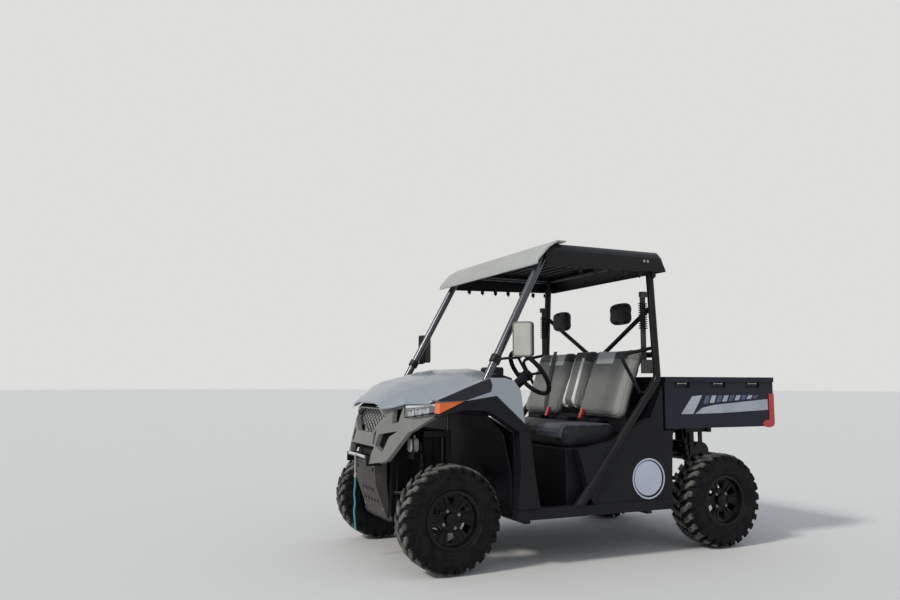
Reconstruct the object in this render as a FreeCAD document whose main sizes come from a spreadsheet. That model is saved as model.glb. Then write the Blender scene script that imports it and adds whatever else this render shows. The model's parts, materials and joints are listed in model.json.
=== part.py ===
import FreeCAD, Part
import math
import os
import re

import Sketcher
from FreeCAD import Placement, Rotation, Vector

# Side by side utility vehicle, in millimetres.
# +X points forwards, +Y to the left, +Z up; the origin is on the ground under the middle.

SIZES = [
    # axles and wheels
    ("front_axle_x", 1065),
    ("wheelbase", 2000),
    ("tyre_radius", 315),
    ("front_wheel_y", 598),
    ("front_tyre_width", 196),
    ("rear_wheel_y", 631),
    ("rear_tyre_width", 236),
    ("tyre_shoulder", 34),
    ("lug_height", 22),
    ("lug_width", 36),
    ("lug_slant", 30),
    ("lug_count", 13),
    ("carcass_facets", 26),
    ("side_wall_height", 82),
    ("rim_radius", 158),
    ("rim_wall", 7),
    ("rim_lip", 12),
    ("rim_lip_thickness", 5),
    ("rim_inset", 22),
    ("rim_dish", 34),
    ("disc_thickness", 14),
    ("cap_depth", 6),
    ("rim_window_count", 6),
    ("rim_window_inner", 78),
    ("rim_window_outer", 132),
    ("rim_window_width", 52),
    ("hub_bore_radius", 32),
    ("stud_circle_radius", 55),
    # running gear
    ("kingpin_y", 488),
    ("rear_hub_y", 500),
    ("kingpin_half", 78),
    ("post_length", 44),
    ("post_width", 40),
    ("running_gap", 0.08),
    ("seat_gap", 0.3),
    ("joint_gap", 0.5),
    ("steer_arm_length", 112),
    ("steer_arm_rise", 32),
    ("steer_arm_thickness", 16),
    ("steer_arm_width", 26),
    ("tie_rod_radius", 9),
    ("rack_radius", 20),
    ("rack_half_length", 120),
    ("arm_tube_radius", 14),
    ("arm_tip_drop", 14),
    ("arm_pad_radius", 22),
    ("bush_length", 40),
    ("upper_root_z", 432),
    ("diff_top_z", 392),
    ("diff_half_length", 85),
    ("diff_half_width", 110),
    ("shaft_radius", 13),
    ("boot_radius", 36),
    ("boot_end_y", 175),
    ("outer_boot_radius", 30),
    ("outer_boot_length", 55),
    ("shaft_clearance", 38),
    ("shock_radius", 29),
    ("shock_rod_radius", 9),
    ("shock_eye_radius", 13),
    ("shock_eye_width", 30),
    ("shock_offset", 50),
    ("shock_top_y", 275),
    ("shock_top_drop", 34),
    ("shock_foot_y", 380),
    ("clevis_wall", 6),
    ("pin_end", 4),
    # frame
    ("frame_y", 215),
    ("frame_tube", 40),
    ("frame_bottom_z", 255),
    ("frame_front_x", 1290),
    ("frame_rear_x", -1290),
    ("front_tower_rear_x", 920),
    ("front_tower_z", 800),
    ("rear_tower_front_x", -743),
    ("rear_tower_rear_x", -1086),
    ("rear_frame_z", 780),
    ("mid_post_x", -232),
    ("outrigger_front_x", 560),
    ("outrigger_rear_x", -360),
    ("pan_thickness", 6),
    ("bed_rest_x", -540),
    # cab floor and sides
    ("body_half_width", 722),
    ("floor_thickness", 8),
    ("floor_front_x", 668),
    ("sill_inner_y", 650),
    ("sill_bottom_z", 288),
    ("sill_top_z", 352),
    ("sill_rear_x", -500),
    ("footwell_wall", 12),
    ("footwell_half_width", 640),
    ("dash_front_x", 840),
    ("dash_top_z", 1165),
    ("dash_half_width", 616),
    ("side_panel_wall", 57),
    ("side_panel_sink", 10),
    # seat
    ("seat_box_front_x", 270),
    ("seat_box_rear_x", -230),
    ("seat_box_top_z", 696),
    ("seat_half_width", 630),
    ("cushion_front_x", 292),
    ("cushion_rear_x", -190),
    ("cushion_thickness", 140),
    ("back_rise", 39),
    ("back_height", 520),
    ("back_thickness", 92),
    ("back_tilt", 21),
    ("back_split_y", 127),
    ("back_gap", 6),
    ("headrest_y", 378),
    ("headrest_z", 1589),
    ("headrest_width", 225),
    ("headrest_height", 165),
    ("headrest_thickness", 76),
    ("belt_width", 46),
    ("belt_thickness", 3),
    # cage
    ("cage_radius", 25),
    ("cage_bend", 110),
    ("pillar_foot_x", 893),
    ("pillar_foot_y", 672),
    ("pillar_foot_z", 1045),
    ("pillar_top_x", 408),
    ("pillar_top_y", 640),
    ("cage_top_z", 1945),
    ("dash_bar_z", 1034),
    ("dash_bar_radius", 16),
    ("rear_pillar_x", -410),
    ("rear_pillar_y", 640),
    ("rear_bend_z", 1130),
    ("sill_foot_x", 205),
    ("cage_foot_y", 700),
    ("cross_tube_radius", 19),
    ("brace_radius", 16),
    ("brace_set_back", 12),
    ("brace_top_z", 1631),
    ("seat_cross_z", 1295),
    ("loop_tube_radius", 12),
    ("inner_tube_radius", 12),
    # roof
    ("roof_rise", 45),
    ("roof_top_z", "=cage_top_z + roof_rise"),
    ("roof_wall", 12),
    ("roof_half_width", 705),
    ("roof_rear_x", -504),
    ("roof_visor_x", 375),
    ("roof_lip_x", 525),
    ("roof_lip_drop", 107),
    ("roof_lip_z", "=cage_top_z - roof_lip_drop"),
    ("visor_overhang", 40),
    ("visor_wall", 10),
    # nose
    ("nose_front_x", 1424),
    ("nose_lean", 0.22),
    ("nose_wall", 30),
    ("nose_half_width", 450),
    ("nose_bottom_z", 620),
    ("nose_top_z", 955),
    ("grille_half_width", 292),
    ("grille_set_back", 52.3),
    ("grille_wall", 8),
    ("grille_cell", 12),
    ("grille_pitch", 30),
    ("grille_rim", 12),
    ("radiator_depth", 34),
    ("radiator_half_width", 210),
    ("hood_wall", 12),
    ("hood_lip", 12),
    ("fender_inner_y", 642.4),
    ("winch_radius", 42),
    ("winch_z", 660),
    ("winch_x", 1330),
    ("winch_half_drum", 110),
    ("bracket_half_width", 203),
    ("bracket_wall", 10),
    ("fairlead_x", 1418),
    ("fairlead_depth", 24),
    ("fairlead_height", 20),
    ("guard_half_width", 190),
    ("guard_wall", 5),
    ("guard_hole_radius", 14),
    ("hook_y", 10),
    ("hook_drop", 112),
    ("hook_radius", 15),
    ("hook_wire_radius", 5),
    ("strap_radius", 6),
    # engine and exhaust
    ("engine_front_x", -275),
    ("engine_rear_x", -650),
    ("engine_half_width", 172),
    ("engine_top_z", 690),
    ("silencer_radius", 74),
    ("silencer_half_length", 215),
    ("silencer_x", -1210),
    ("silencer_z", 590),
    ("pipe_radius", 24),
    ("hitch_half_width", 30),
    ("hitch_hole_radius", 8),
    # bed
    ("bed_front_x", -470),
    ("bed_rear_x", -1449),
    ("bed_half_width", 700),
    ("bed_bottom_z", 803),
    ("bed_top_z", 1148),
    ("bed_wall", 26),
    ("bed_floor", 24),
    ("rail_depth", 34),
    ("rail_overhang", 10),
    ("pocket_length", 132),
    ("pocket_height", 40),
    ("pocket_depth", 14),
    ("pocket_pitch", 318),
    ("first_pocket_x", -618),
    ("bed_pivot_x", -1262),
    ("bed_pivot_z", 758),
    ("pivot_radius", 12),
    ("ear_gap", 5),
    ("ear_wall", 12),
    ("gate_wall", 26),
    ("gate_gap", 6),
    ("gate_hinge_x", -1465),
    ("gate_hinge_z", 815),
    ("gate_arm_y", 500),
    ("gate_arm_wall", 8),
    ("gate_ear_wall", 14),
    ("gate_pin_radius", 6),
    ("lamp_wall", 4),
    ("strut_y", 268),
    ("strut_foot_z", 480),
    ("strut_eye_x", -905),
    ("strut_eye_z", 784),
    ("strut_radius", 14),
    ("strut_rod_radius", 6),
    ("strut_pin_radius", 8),
    ("strut_eye_width", 28),
    # steering wheel and mirrors
    ("steer_wheel_x", 362),
    ("steer_wheel_y", 350),
    ("steer_wheel_z", 1172),
    ("steer_wheel_radius", 172),
    ("steer_grip_radius", 15),
    ("steer_tilt", 38),
    ("column_radius", 16),
    ("column_length", 330),
    ("mirror_x", 650),
    ("mirror_y", 772),
    ("mirror_z", 1367),
    ("mirror_width", 122),
    ("mirror_height", 212),
    ("mirror_depth", 58),
    ("mirror_heading", 45),
    ("mirror_clamp_z", 1247),
]

doc = FreeCAD.newDocument("utility_vehicle")
sheet = doc.addObject("Spreadsheet::Sheet", "Sizes")
for row, (alias, number) in enumerate(SIZES, start=1):
    sheet.set("A%d" % row, alias)
    sheet.set("B%d" % row, str(number))
    sheet.setAlias("B%d" % row, alias)
doc.recompute()

ALIASES = {alias for alias, number in SIZES}
PLANES = {"side": "XZ_Plane", "front": "YZ_Plane", "top": "XY_Plane"}
NORMAL_SIGN = {"side": -1, "front": 1, "top": 1}
LEFT_RIGHT = (("left", 1), ("right", -1))
node_objects = []


def size(alias):
    """A number from the sheet."""
    return float(getattr(sheet, alias))


def bound(text):
    """The expression with each size name pointing into the sheet."""
    def point(word):
        name = word.group(0)
        return "Sizes." + name if name in ALIASES else name
    return re.sub(r"[a-z][a-z0-9_]*", point, text)


def node(label, thing):
    """Keep an object as the sub-part with this label."""
    thing.Label = label
    node_objects.append((label, thing))
    return thing


def box(name, x_pair, y_pair, z_pair):
    """A block between pairs of expressions."""
    block = doc.addObject("Part::Box", name)
    sides = (("Length", "x", x_pair), ("Width", "y", y_pair), ("Height", "z", z_pair))
    for side, axis, (low, high) in sides:
        block.setExpression(side, bound("(%s) - (%s)" % (high, low)))
        block.setExpression(".Placement.Base." + axis, bound(low))
    return block


def joined(name, parts):
    """Touching objects fused to one."""
    fuse = doc.addObject("Part::MultiFuse", name)
    fuse.Shapes = parts
    fuse.Refine = False
    return fuse


def cut(name, base, tool):
    """One object less another."""
    piece = doc.addObject("Part::Cut", name)
    piece.Base = base
    piece.Tool = tool
    return piece


def common(name, first, second):
    """What two objects share."""
    piece = doc.addObject("Part::MultiCommon", name)
    piece.Shapes = [first, second]
    return piece


def mirrored(name, source):
    """The copy on the other side of the middle plane."""
    copy = doc.addObject("Part::Mirroring", name)
    copy.Source = source
    copy.Normal = Vector(0, 1, 0)
    return copy


def grouped(name, parts):
    """Separate solids kept together."""
    group = doc.addObject("Part::Compound", name)
    group.Links = parts
    return group


def both_sides(name, source):
    """A left piece and its mirror image in one group."""
    return grouped(name, [source, mirrored(name + "_mirror", source)])


def origin_plane(body, role):
    """The body's own origin plane with this role."""
    for feature in body.Origin.OriginFeatures:
        if feature.Role == role:
            return feature


def outline(body, name, view, corners, offset="0"):
    """A closed sketch whose corners are pairs of expressions."""
    sketch = body.newObject("Sketcher::SketchObject", name)
    sketch.AttachmentSupport = [(origin_plane(body, PLANES[view]), "")]
    sketch.MapMode = "FlatFace"
    sketch.setExpression(".AttachmentOffset.Base.z", bound(offset))
    count = len(corners)
    rough = [Vector(100 * math.cos(math.tau * k / count), 100 * math.sin(math.tau * k / count), 0)
             for k in range(count)]
    for k in range(count):
        sketch.addGeometry(Part.LineSegment(rough[k], rough[(k + 1) % count]))
    for k in range(count):
        sketch.addConstraint(Sketcher.Constraint("Coincident", k, 2, (k + 1) % count, 1))
    for k, pair in enumerate(corners):
        for kind, start, expression in (("DistanceX", rough[k].x, pair[0]),
                                        ("DistanceY", rough[k].y, pair[1])):
            index = sketch.addConstraint(Sketcher.Constraint(kind, k, 1, start))
            label = "%s%d" % (kind[-1].lower(), k)
            sketch.renameConstraint(index, label)
            sketch.setExpression("Constraints." + label, bound(str(expression)))
    return sketch


def slab(name, view, corners, low, high):
    """An outline seen from one side, given a thickness between two expressions."""
    body = doc.addObject("PartDesign::Body", name)
    start = low if NORMAL_SIGN[view] > 0 else "-(%s)" % high
    sketch = outline(body, name + "_outline", view, corners, start)
    pad = body.newObject("PartDesign::Pad", name + "_pad")
    pad.Profile = sketch
    pad.setExpression("Length", bound("(%s) - (%s)" % (high, low)))
    return body


def turned(name, corners):
    """A profile of radius and width turned about the wheel axis."""
    body = doc.addObject("PartDesign::Body", name)
    sketch = outline(body, name + "_profile", "top", corners)
    turn = body.newObject("PartDesign::Revolution", name + "_turn")
    turn.Profile = sketch
    turn.ReferenceAxis = (sketch, ["V_Axis"])
    turn.Angle = 360
    return body


def made(name, shape):
    """An object whose shape comes from geometry functions."""
    feature = doc.addObject("Part::Feature", name)
    feature.Shape = shape
    return feature


def tube(points, radius, bend=0):
    """A round bar along straight runs joined by tangent arcs."""
    spots = [Vector(*point) for point in points]
    edges = []
    start = spots[0]
    for before, corner, after in zip(spots, spots[1:], spots[2:]):
        back = (before - corner).normalize()
        on = (after - corner).normalize()
        half_turn = (math.pi - back.getAngle(on)) / 2
        reach = bend * math.tan(half_turn)
        first = corner + back * reach
        last = corner + on * reach
        bisector = (back + on).normalize()
        middle = corner + bisector * (bend / math.cos(half_turn) - bend)
        edges.append(Part.LineSegment(start, first).toShape())
        edges.append(Part.Arc(first, middle, last).toShape())
        start = last
    edges.append(Part.LineSegment(start, spots[-1]).toShape())
    path = Part.Wire(edges)
    ring = Part.Wire(Part.makeCircle(radius, spots[0], spots[1] - spots[0]))
    return path.makePipeShell([ring], True, True)


def rod(start, end, radius):
    """A straight round bar between two points."""
    first = Vector(*start)
    along = Vector(*end) - first
    return Part.makeCylinder(radius, along.Length, first, along)


def ruled(sections):
    """A solid with flat facets through closed sections of points."""
    wires = [Part.makePolygon([Vector(*point) for point in section + section[:1]])
             for section in sections]
    return Part.makeLoft(wires, True, True)


def fused(shapes):
    """Overlapping shapes as one solid."""
    whole = shapes[0].multiFuse(shapes[1:])
    return whole.removeSplitter()


def flip(shape):
    """The mirror image of a shape across the middle plane."""
    return shape.mirror(Vector(0, 0, 0), Vector(0, 1, 0))


def side_pair(shape):
    """A left shape and its mirror image, side by side."""
    return Part.makeCompound([shape, flip(shape)])


front_x = size("front_axle_x")
rear_x = front_x - size("wheelbase")
hub_z = size("tyre_radius")
seat_gap = size("seat_gap")
frame_top_z = size("frame_bottom_z") + size("frame_tube")
frame_side_y = size("frame_y") + size("frame_tube") / 2

# Chassis: two rails with cross members and a tower at each end

RAIL_SIDE = ("frame_y - frame_tube / 2", "frame_y + frame_tube / 2")
RAIL_LEVEL = ("frame_bottom_z", "frame_bottom_z + frame_tube")
ACROSS = ("-frame_y", "frame_y")
FRONT_TOP = ("front_tower_z - frame_tube", "front_tower_z")
REAR_TOP = ("rear_frame_z - frame_tube", "rear_frame_z")

FRONT_POST = ("frame_bottom_z + frame_tube", "front_tower_z")
REAR_POST = ("frame_bottom_z + frame_tube", "rear_frame_z")
# sub-part, name, x from and to, z from and to
SIDE_MEMBERS = [
    ("chassis_frame", "rail", ("rear_tower_rear_x - frame_tube", "frame_front_x"), RAIL_LEVEL),
    ("front_tower", "front_post", ("frame_front_x - frame_tube", "frame_front_x"), FRONT_POST),
    ("front_tower", "dash_post", ("front_tower_rear_x - frame_tube", "front_tower_rear_x"),
     FRONT_POST),
    ("front_tower", "front_top", ("front_tower_rear_x - frame_tube", "frame_front_x"), FRONT_TOP),
    ("rear_tower", "axle_post", ("rear_tower_front_x - frame_tube", "rear_tower_front_x"),
     REAR_POST),
    ("rear_tower", "rear_post", ("rear_tower_rear_x - frame_tube", "rear_tower_rear_x"), REAR_POST),
    ("rear_tower", "mid_post", ("mid_post_x - frame_tube", "mid_post_x"), REAR_POST),
    ("rear_tower", "rear_top", ("frame_rear_x", "mid_post_x"), REAR_TOP),
    ("rear_tower", "bed_rest", ("bed_rest_x - frame_tube", "bed_rest_x"),
     ("rear_frame_z", "bed_bottom_z - seat_gap")),
]
# sub-part, name, x of the front face, z from and to
CROSS_MEMBERS = [
    ("chassis_frame", "front_low", "frame_front_x", RAIL_LEVEL),
    ("front_tower", "front_high", "frame_front_x", FRONT_TOP),
    ("chassis_frame", "dash_low", "front_tower_rear_x", RAIL_LEVEL),
    ("front_tower", "dash_high", "front_tower_rear_x", FRONT_TOP),
    ("chassis_frame", "rear_low", "rear_tower_rear_x", RAIL_LEVEL),
    ("rear_tower", "rear_high", "frame_rear_x + frame_tube", REAR_TOP),
    ("rear_tower", "mid_high", "mid_post_x", REAR_TOP),
]
# name, x of the axle, way of the shock from it, z of the top rail
SHOCK_PLACES = [
    ("front", "front_axle_x", 1, "front_tower_z"),
    ("rear", "front_axle_x - wheelbase", -1, "rear_frame_z"),
]


def round_bar(name, radius, length, place, turn):
    """A cylinder with bound size and place, turned from +Z by a fixed rotation."""
    bar = doc.addObject("Part::Cylinder", name)
    bar.setExpression("Radius", bound(radius))
    bar.setExpression("Height", bound(length))
    bar.Placement.Rotation = turn
    for axis, expression in zip("xyz", place):
        bar.setExpression(".Placement.Base." + axis, bound(expression))
    return bar


TO_LEFT = Rotation(Vector(1, 0, 0), -90)
TO_FRONT = Rotation(Vector(0, 1, 0), 90)


def chassis():
    """Welded frame of square tube, in three parts, with the pins and lugs that they carry."""
    left = {"chassis_frame": [], "front_tower": [], "rear_tower": []}
    for part, name, x_pair, z_pair in SIDE_MEMBERS:
        left[part].append(box("frame_" + name, x_pair, RAIL_SIDE, z_pair))
    for name, axle, way, top in SHOCK_PLACES:
        middle = "%s + %d * shock_offset" % (axle, way)
        eye_z = "%s - frame_tube - shock_top_drop" % top
        for side, word in ((1, "fore"), (-1, "aft")):
            inner = "%s + %d * (shock_eye_width / 2 + seat_gap)" % (middle, side)
            outer = "%s + %d * (shock_eye_width / 2 + seat_gap + clevis_wall)" % (middle, side)
            pair = (inner, outer) if side > 0 else (outer, inner)
            left[name + "_tower"].append(box("clevis_%s_%s" % (name, word), pair, (
                "frame_y", "shock_top_y + shock_eye_radius + clevis_wall"), (
                "%s - shock_eye_radius - clevis_wall" % eye_z, top)))
    left["rear_tower"].append(round_bar("bed_pin", "pivot_radius",
                                        "frame_tube / 2 + ear_gap + ear_wall + pin_end",
                                        ("bed_pivot_x", "frame_y", "bed_pivot_z"), TO_LEFT))
    left["rear_tower"].append(round_bar("strut_pin", "strut_pin_radius",
                                        "strut_y + strut_eye_width / 2 - frame_y",
                                        ("rear_tower_front_x - frame_tube / 2", "frame_y",
                                         "strut_foot_z"), TO_LEFT))
    members = {part: pieces + [mirrored(piece.Name + "_mirror", piece) for piece in pieces]
               for part, pieces in left.items()}
    for part, name, x_front, z_pair in CROSS_MEMBERS:
        members[part].append(box("cross_" + name, (x_front + " - frame_tube", x_front), ACROSS,
                                 z_pair))
    for name in ("front", "rear"):
        middle = "outrigger_%s_x" % name
        members["chassis_frame"].append(box("outrigger_" + name, (
            middle + " - frame_tube / 2", middle + " + frame_tube / 2"), (
            "-sill_inner_y", "sill_inner_y"), RAIL_LEVEL))
    for part, pieces in members.items():
        node(part, joined(part, pieces))


def belly():
    """Flat pan under the rails."""
    return node("belly_pan", box(
        "belly_pan", ("rear_tower_rear_x - frame_tube", "frame_front_x"),
        ("-frame_y - frame_tube / 2", "frame_y + frame_tube / 2"),
        ("frame_bottom_z - pan_thickness", "frame_bottom_z")))


# side outline of the guard's outer face, x from the frame's front and z from its bottom
GUARD = [(94, 351), (82, 215), (38, 95), (5.3, 12)]
# height of a row of holes above the frame's bottom, and their places across
GUARD_HOLES = [
    (310, ("guard_half_width - 40", "40 - guard_half_width")),
    (180, ("90", "30", "-30", "-90")),
    (110, ("120", "60", "0", "-60", "-120")),
]


def guard():
    """Curved guard plate under the nose."""
    outer = [("frame_front_x + %.1f" % x, "frame_bottom_z + %d" % z) for x, z in GUARD]
    inner = [("frame_front_x + %.1f - guard_wall" % x, "frame_bottom_z + %d" % z) for x, z in GUARD]
    plate = slab("guard_plate", "side", outer + inner[::-1], "-guard_half_width", "guard_half_width")
    drills = []
    for row, (height, spots) in enumerate(GUARD_HOLES):
        for column, place in enumerate(spots):
            drills.append(round_bar("guard_hole_%d_%d" % (row, column), "guard_hole_radius", "200",
                                    ("frame_front_x", place, "frame_bottom_z + %d" % height),
                                    TO_FRONT))
    return node("skid_guard", cut("skid_guard", plate, grouped("guard_holes", drills)))


# Wheels

REAR_AXLE = "front_axle_x - wheelbase"
# name, x of the axle, y of the middle, width of the tyre
WHEELS = [
    ("front", "front_axle_x", "front_wheel_y", "front_tyre_width"),
    ("rear", REAR_AXLE, "rear_wheel_y", "rear_tyre_width"),
]


def set_on_axle(body, x_place, y_place):
    """Put a wheel piece on its axle."""
    body.setExpression(".Placement.Base.x", bound(x_place))
    body.setExpression(".Placement.Base.y", bound(y_place))
    body.setExpression(".Placement.Base.z", bound("tyre_radius"))


def tread_radius():
    """Radius of the carcass between the lugs."""
    return size("tyre_radius") - size("lug_height")


def carcass(width):
    """Ring with flat facets and rounded shoulders, about the wheel axis."""
    half = width / 2
    bead = half - size("rim_inset")
    lip = size("rim_radius") + size("rim_lip")
    facets = int(size("carcass_facets"))
    step = math.tau / facets
    bore = (size("rim_radius") + seat_gap) / math.cos(step / 2)
    side = [(bore, bead), (lip + 2, bead), (lip + 12, half - 6),
            (size("tyre_radius") - size("side_wall_height"), half),
            (tread_radius(), half - size("tyre_shoulder"))]
    profile = side + [(radius, -place) for radius, place in reversed(side)]
    faces = []
    for (radius, place), (next_radius, next_place) in zip(profile, profile[1:] + profile[:1]):
        for k in range(facets):
            low, high = (k - 0.5) * step, (k + 0.5) * step
            spots = [(radius, place, low), (next_radius, next_place, low),
                     (next_radius, next_place, high), (radius, place, high)]
            corners = [Vector(r * math.sin(a), y, r * math.cos(a)) for r, y, a in spots]
            faces.append(Part.Face(Part.makePolygon(corners + corners[:1])))
    shell = Part.Shell(faces)
    shell.sewShape()
    solid = Part.Solid(shell)
    if solid.Volume < 0:
        solid.reverse()
    return solid


def lug(width):
    """One lug of the left half at the top of the tyre, from the middle out over the shoulder."""
    half = width / 2
    reach = size("lug_width") / 2
    slant = size("lug_slant")
    tip = size("tyre_radius")
    shoulder = half - size("tyre_shoulder")
    # place across, shift along the tread, height of the foot and of the tip
    sections = []
    for place, shift, foot, top in ((6, slant / 2, tread_radius() - 12, tip),
                                    (shoulder, -slant / 2, tread_radius() - 12, tip),
                                    (half - 2, -slant / 2, tread_radius() - 52, tip - 34)):
        sections.append([(shift - reach, place, foot), (shift + reach, place, foot),
                         (shift + reach, place, top), (shift - reach, place, top)])
    return ruled(sections)


def tyre(name, x_place, y_place, width):
    """Pair of tyres, each a carcass with two staggered rows of lugs."""
    first = lug(size(width))
    second = flip(first)
    pitch = 360 / size("lug_count")
    lugs = []
    for k in range(int(size("lug_count"))):
        for shape, turn in ((first, k * pitch), (second, (k + 0.5) * pitch)):
            copy = shape.copy()
            copy.rotate(Vector(0, 0, 0), Vector(0, 1, 0), turn)
            lugs.append(copy)
    left = made(name + "_left_tyre", carcass(size(width)).multiFuse(lugs))
    set_on_axle(left, x_place, y_place)
    node(name + "_left_tyre", left)
    node(name + "_right_tyre", mirrored(name + "_right_tyre", left))


def rim(name, x_place, y_place, width):
    """Pair of rims: a barrel with a dished disc, its windows and a closed centre cap."""
    half = "(%s) / 2 - rim_inset + rim_lip_thickness" % width
    seat = "%s - rim_lip_thickness + seat_gap" % half
    face = "%s - rim_dish" % half
    corners = [
        ("rim_radius + rim_lip", "-(%s)" % half),
        ("rim_radius + rim_lip", "-(%s)" % seat),
        ("rim_radius", "-(%s)" % seat),
        ("rim_radius", seat),
        ("rim_radius + rim_lip", seat),
        ("rim_radius + rim_lip", half),
        ("rim_radius - rim_wall", half),
        ("rim_radius - rim_wall - 6", face),
        ("stud_circle_radius + 22", "%s - disc_thickness" % face),
        ("hub_bore_radius + 8", "%s - disc_thickness" % face),
        ("hub_bore_radius + 4", "%s + cap_depth" % face),
        ("0", "%s + cap_depth" % face),
        ("0", "%s - 2" % face),
        ("hub_bore_radius", "%s - 2" % face),
        ("hub_bore_radius", "%s - 2 * disc_thickness" % face),
        ("stud_circle_radius + 22", "%s - 2 * disc_thickness" % face),
        ("rim_radius - rim_wall", "%s - disc_thickness - 2" % face),
        ("rim_radius - rim_wall", "-(%s)" % half),
    ]
    body = turned(name + "_left_rim", corners)
    doc.recompute()
    full = body.Shape.Volume
    window = outline(body, name + "_window", "side", [
        ("-rim_window_width / 3", "rim_window_inner"), ("rim_window_width / 3", "rim_window_inner"),
        ("rim_window_width / 2", "rim_window_outer"), ("-rim_window_width / 2", "rim_window_outer")])
    pocket = body.newObject("PartDesign::Pocket", name + "_window_cut")
    pocket.Profile = window
    pocket.Type = "ThroughAll"
    pocket.Midplane = True
    pattern = body.newObject("PartDesign::PolarPattern", name + "_windows")
    pattern.Originals = [pocket]
    pattern.Axis = (origin_plane(body, "Y_Axis"), [""])
    pattern.Angle = 360
    pattern.setExpression("Occurrences", bound("rim_window_count"))
    body.Tip = pattern
    doc.recompute()
    if body.Shape.Volume > 0.99 * full:
        raise RuntimeError(name + " rim windows are not cut")
    set_on_axle(body, x_place, y_place)
    node(name + "_left_rim", body)
    node(name + "_right_rim", mirrored(name + "_right_rim", body))


def spindle_end(end):
    """Distance from the middle plane to the bottom of a rim's bore, less the seat gap."""
    half = size(end + "_tyre_width") / 2 - size("rim_inset") + size("rim_lip_thickness")
    return size(end + "_wheel_y") + half - size("rim_dish") - 2 - seat_gap


# Running gear

low_boss_z = hub_z - size("kingpin_half")
high_boss_z = hub_z + size("kingpin_half")
steer_arm_x = front_x - size("steer_arm_length")
steer_arm_z = hub_z + size("steer_arm_rise")
tie_rod_z = steer_arm_z + size("steer_arm_thickness") / 2 + 1 + size("tie_rod_radius")


def hub_carrier(end, axle_x, carrier_y):
    """Upright between the arms with the spindle that carries the wheel."""
    length = size("post_length")
    width = size("post_width")
    post = Part.makeBox(length, width, high_boss_z - low_boss_z,
                        Vector(axle_x - length / 2, carrier_y - width / 2, low_boss_z))
    spindle = rod((axle_x, carrier_y, hub_z), (axle_x, spindle_end(end), hub_z),
                  size("hub_bore_radius") - size("running_gap"))
    return [post, spindle]


def knuckle_shape():
    """Front upright with its steering arm."""
    thick = size("steer_arm_thickness")
    width = size("steer_arm_width")
    pin_y = size("kingpin_y")
    arm = Part.makeBox(size("steer_arm_length"), width, thick,
                       Vector(steer_arm_x, pin_y - width / 2, steer_arm_z - thick / 2))
    eye = Part.makeCylinder(width / 2 + 3, thick, Vector(steer_arm_x, pin_y, steer_arm_z - thick / 2))
    return fused(hub_carrier("front", front_x, pin_y) + [arm, eye])


def on_leg(tip, root, place_y):
    """The point of an arm's leg at this distance from the middle plane."""
    share = (tip.y - place_y) / (tip.y - root.y)
    return tip + (root - tip) * share


def arm_pair(axle_x, joint_y, post_centres):
    """Lower and upper wishbones of one wheel with bushes beside the tower posts."""
    radius = size("arm_tube_radius")
    half_bush = size("bush_length") / 2
    root_y = frame_side_y + radius + seat_gap
    lift = size("joint_gap") + radius + size("arm_tip_drop")
    lower_root_z = size("frame_bottom_z") + size("frame_tube") / 2
    wishbones = []
    for boss_z, way, root_z in ((low_boss_z, -1, lower_root_z),
                                (high_boss_z, 1, size("upper_root_z"))):
        tip = Vector(axle_x, joint_y, boss_z + way * lift)
        pieces = []
        for post_x in post_centres:
            root = Vector(post_x, root_y, root_z)
            pieces.append(rod(tip, root, radius))
            pieces.append(rod(root - Vector(half_bush, 0, 0), root + Vector(half_bush, 0, 0), radius))
        pad_foot = min(tip.z - way * (radius + size("arm_tip_drop")), tip.z - way * -radius)
        pad_height = 2 * radius + size("arm_tip_drop")
        pieces.append(Part.makeCylinder(size("arm_pad_radius"), pad_height,
                                        Vector(axle_x, joint_y, pad_foot)))
        if way < 0:
            ends = [on_leg(tip, Vector(post_x, root_y, root_z), size("shock_foot_y"))
                    for post_x in post_centres]
            pieces.append(rod(ends[0], ends[1], radius))
            shock_seat_z = ends[0].z
        wishbones.append(fused(pieces))
    return wishbones, shock_seat_z


def shock_shape(middle_x, seat_z, top_rail_z):
    """Coil-over: body with spring, rod and an eye at each end."""
    half = Vector(size("shock_eye_width") / 2, 0, 0)
    eye = size("shock_eye_radius")
    foot = Vector(middle_x, size("shock_foot_y"),
                  seat_z + size("arm_tube_radius") + seat_gap + eye)
    top = Vector(middle_x, size("shock_top_y"),
                 top_rail_z - size("frame_tube") - size("shock_top_drop"))
    along = top - foot
    coil = rod(foot + along * 0.16, foot + along * 0.88, size("shock_radius"))
    return fused([coil, rod(foot, top, size("shock_rod_radius")), rod(foot - half, foot + half, eye),
                  rod(top - half, top + half, eye)])


def driveline(axle_x, shaft_end):
    """Differential case with its half shafts and boots."""
    half_length = size("diff_half_length")
    half_width = size("diff_half_width")
    bottom_z = size("frame_bottom_z") + seat_gap
    case = Part.makeBox(2 * half_length, 2 * half_width, size("diff_top_z") - bottom_z,
                        Vector(axle_x - half_length, -half_width, bottom_z))
    pieces = [case, rod((axle_x, -shaft_end, hub_z), (axle_x, shaft_end, hub_z), size("shaft_radius"))]
    boot_start = shaft_end - size("outer_boot_length")
    for way in (1, -1):
        pieces.append(rod((axle_x, way * half_width, hub_z), (axle_x, way * size("boot_end_y"), hub_z),
                          size("boot_radius")))
        pieces.append(rod((axle_x, way * boot_start, hub_z), (axle_x, way * shaft_end, hub_z),
                          size("outer_boot_radius")))
    return fused(pieces)


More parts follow.
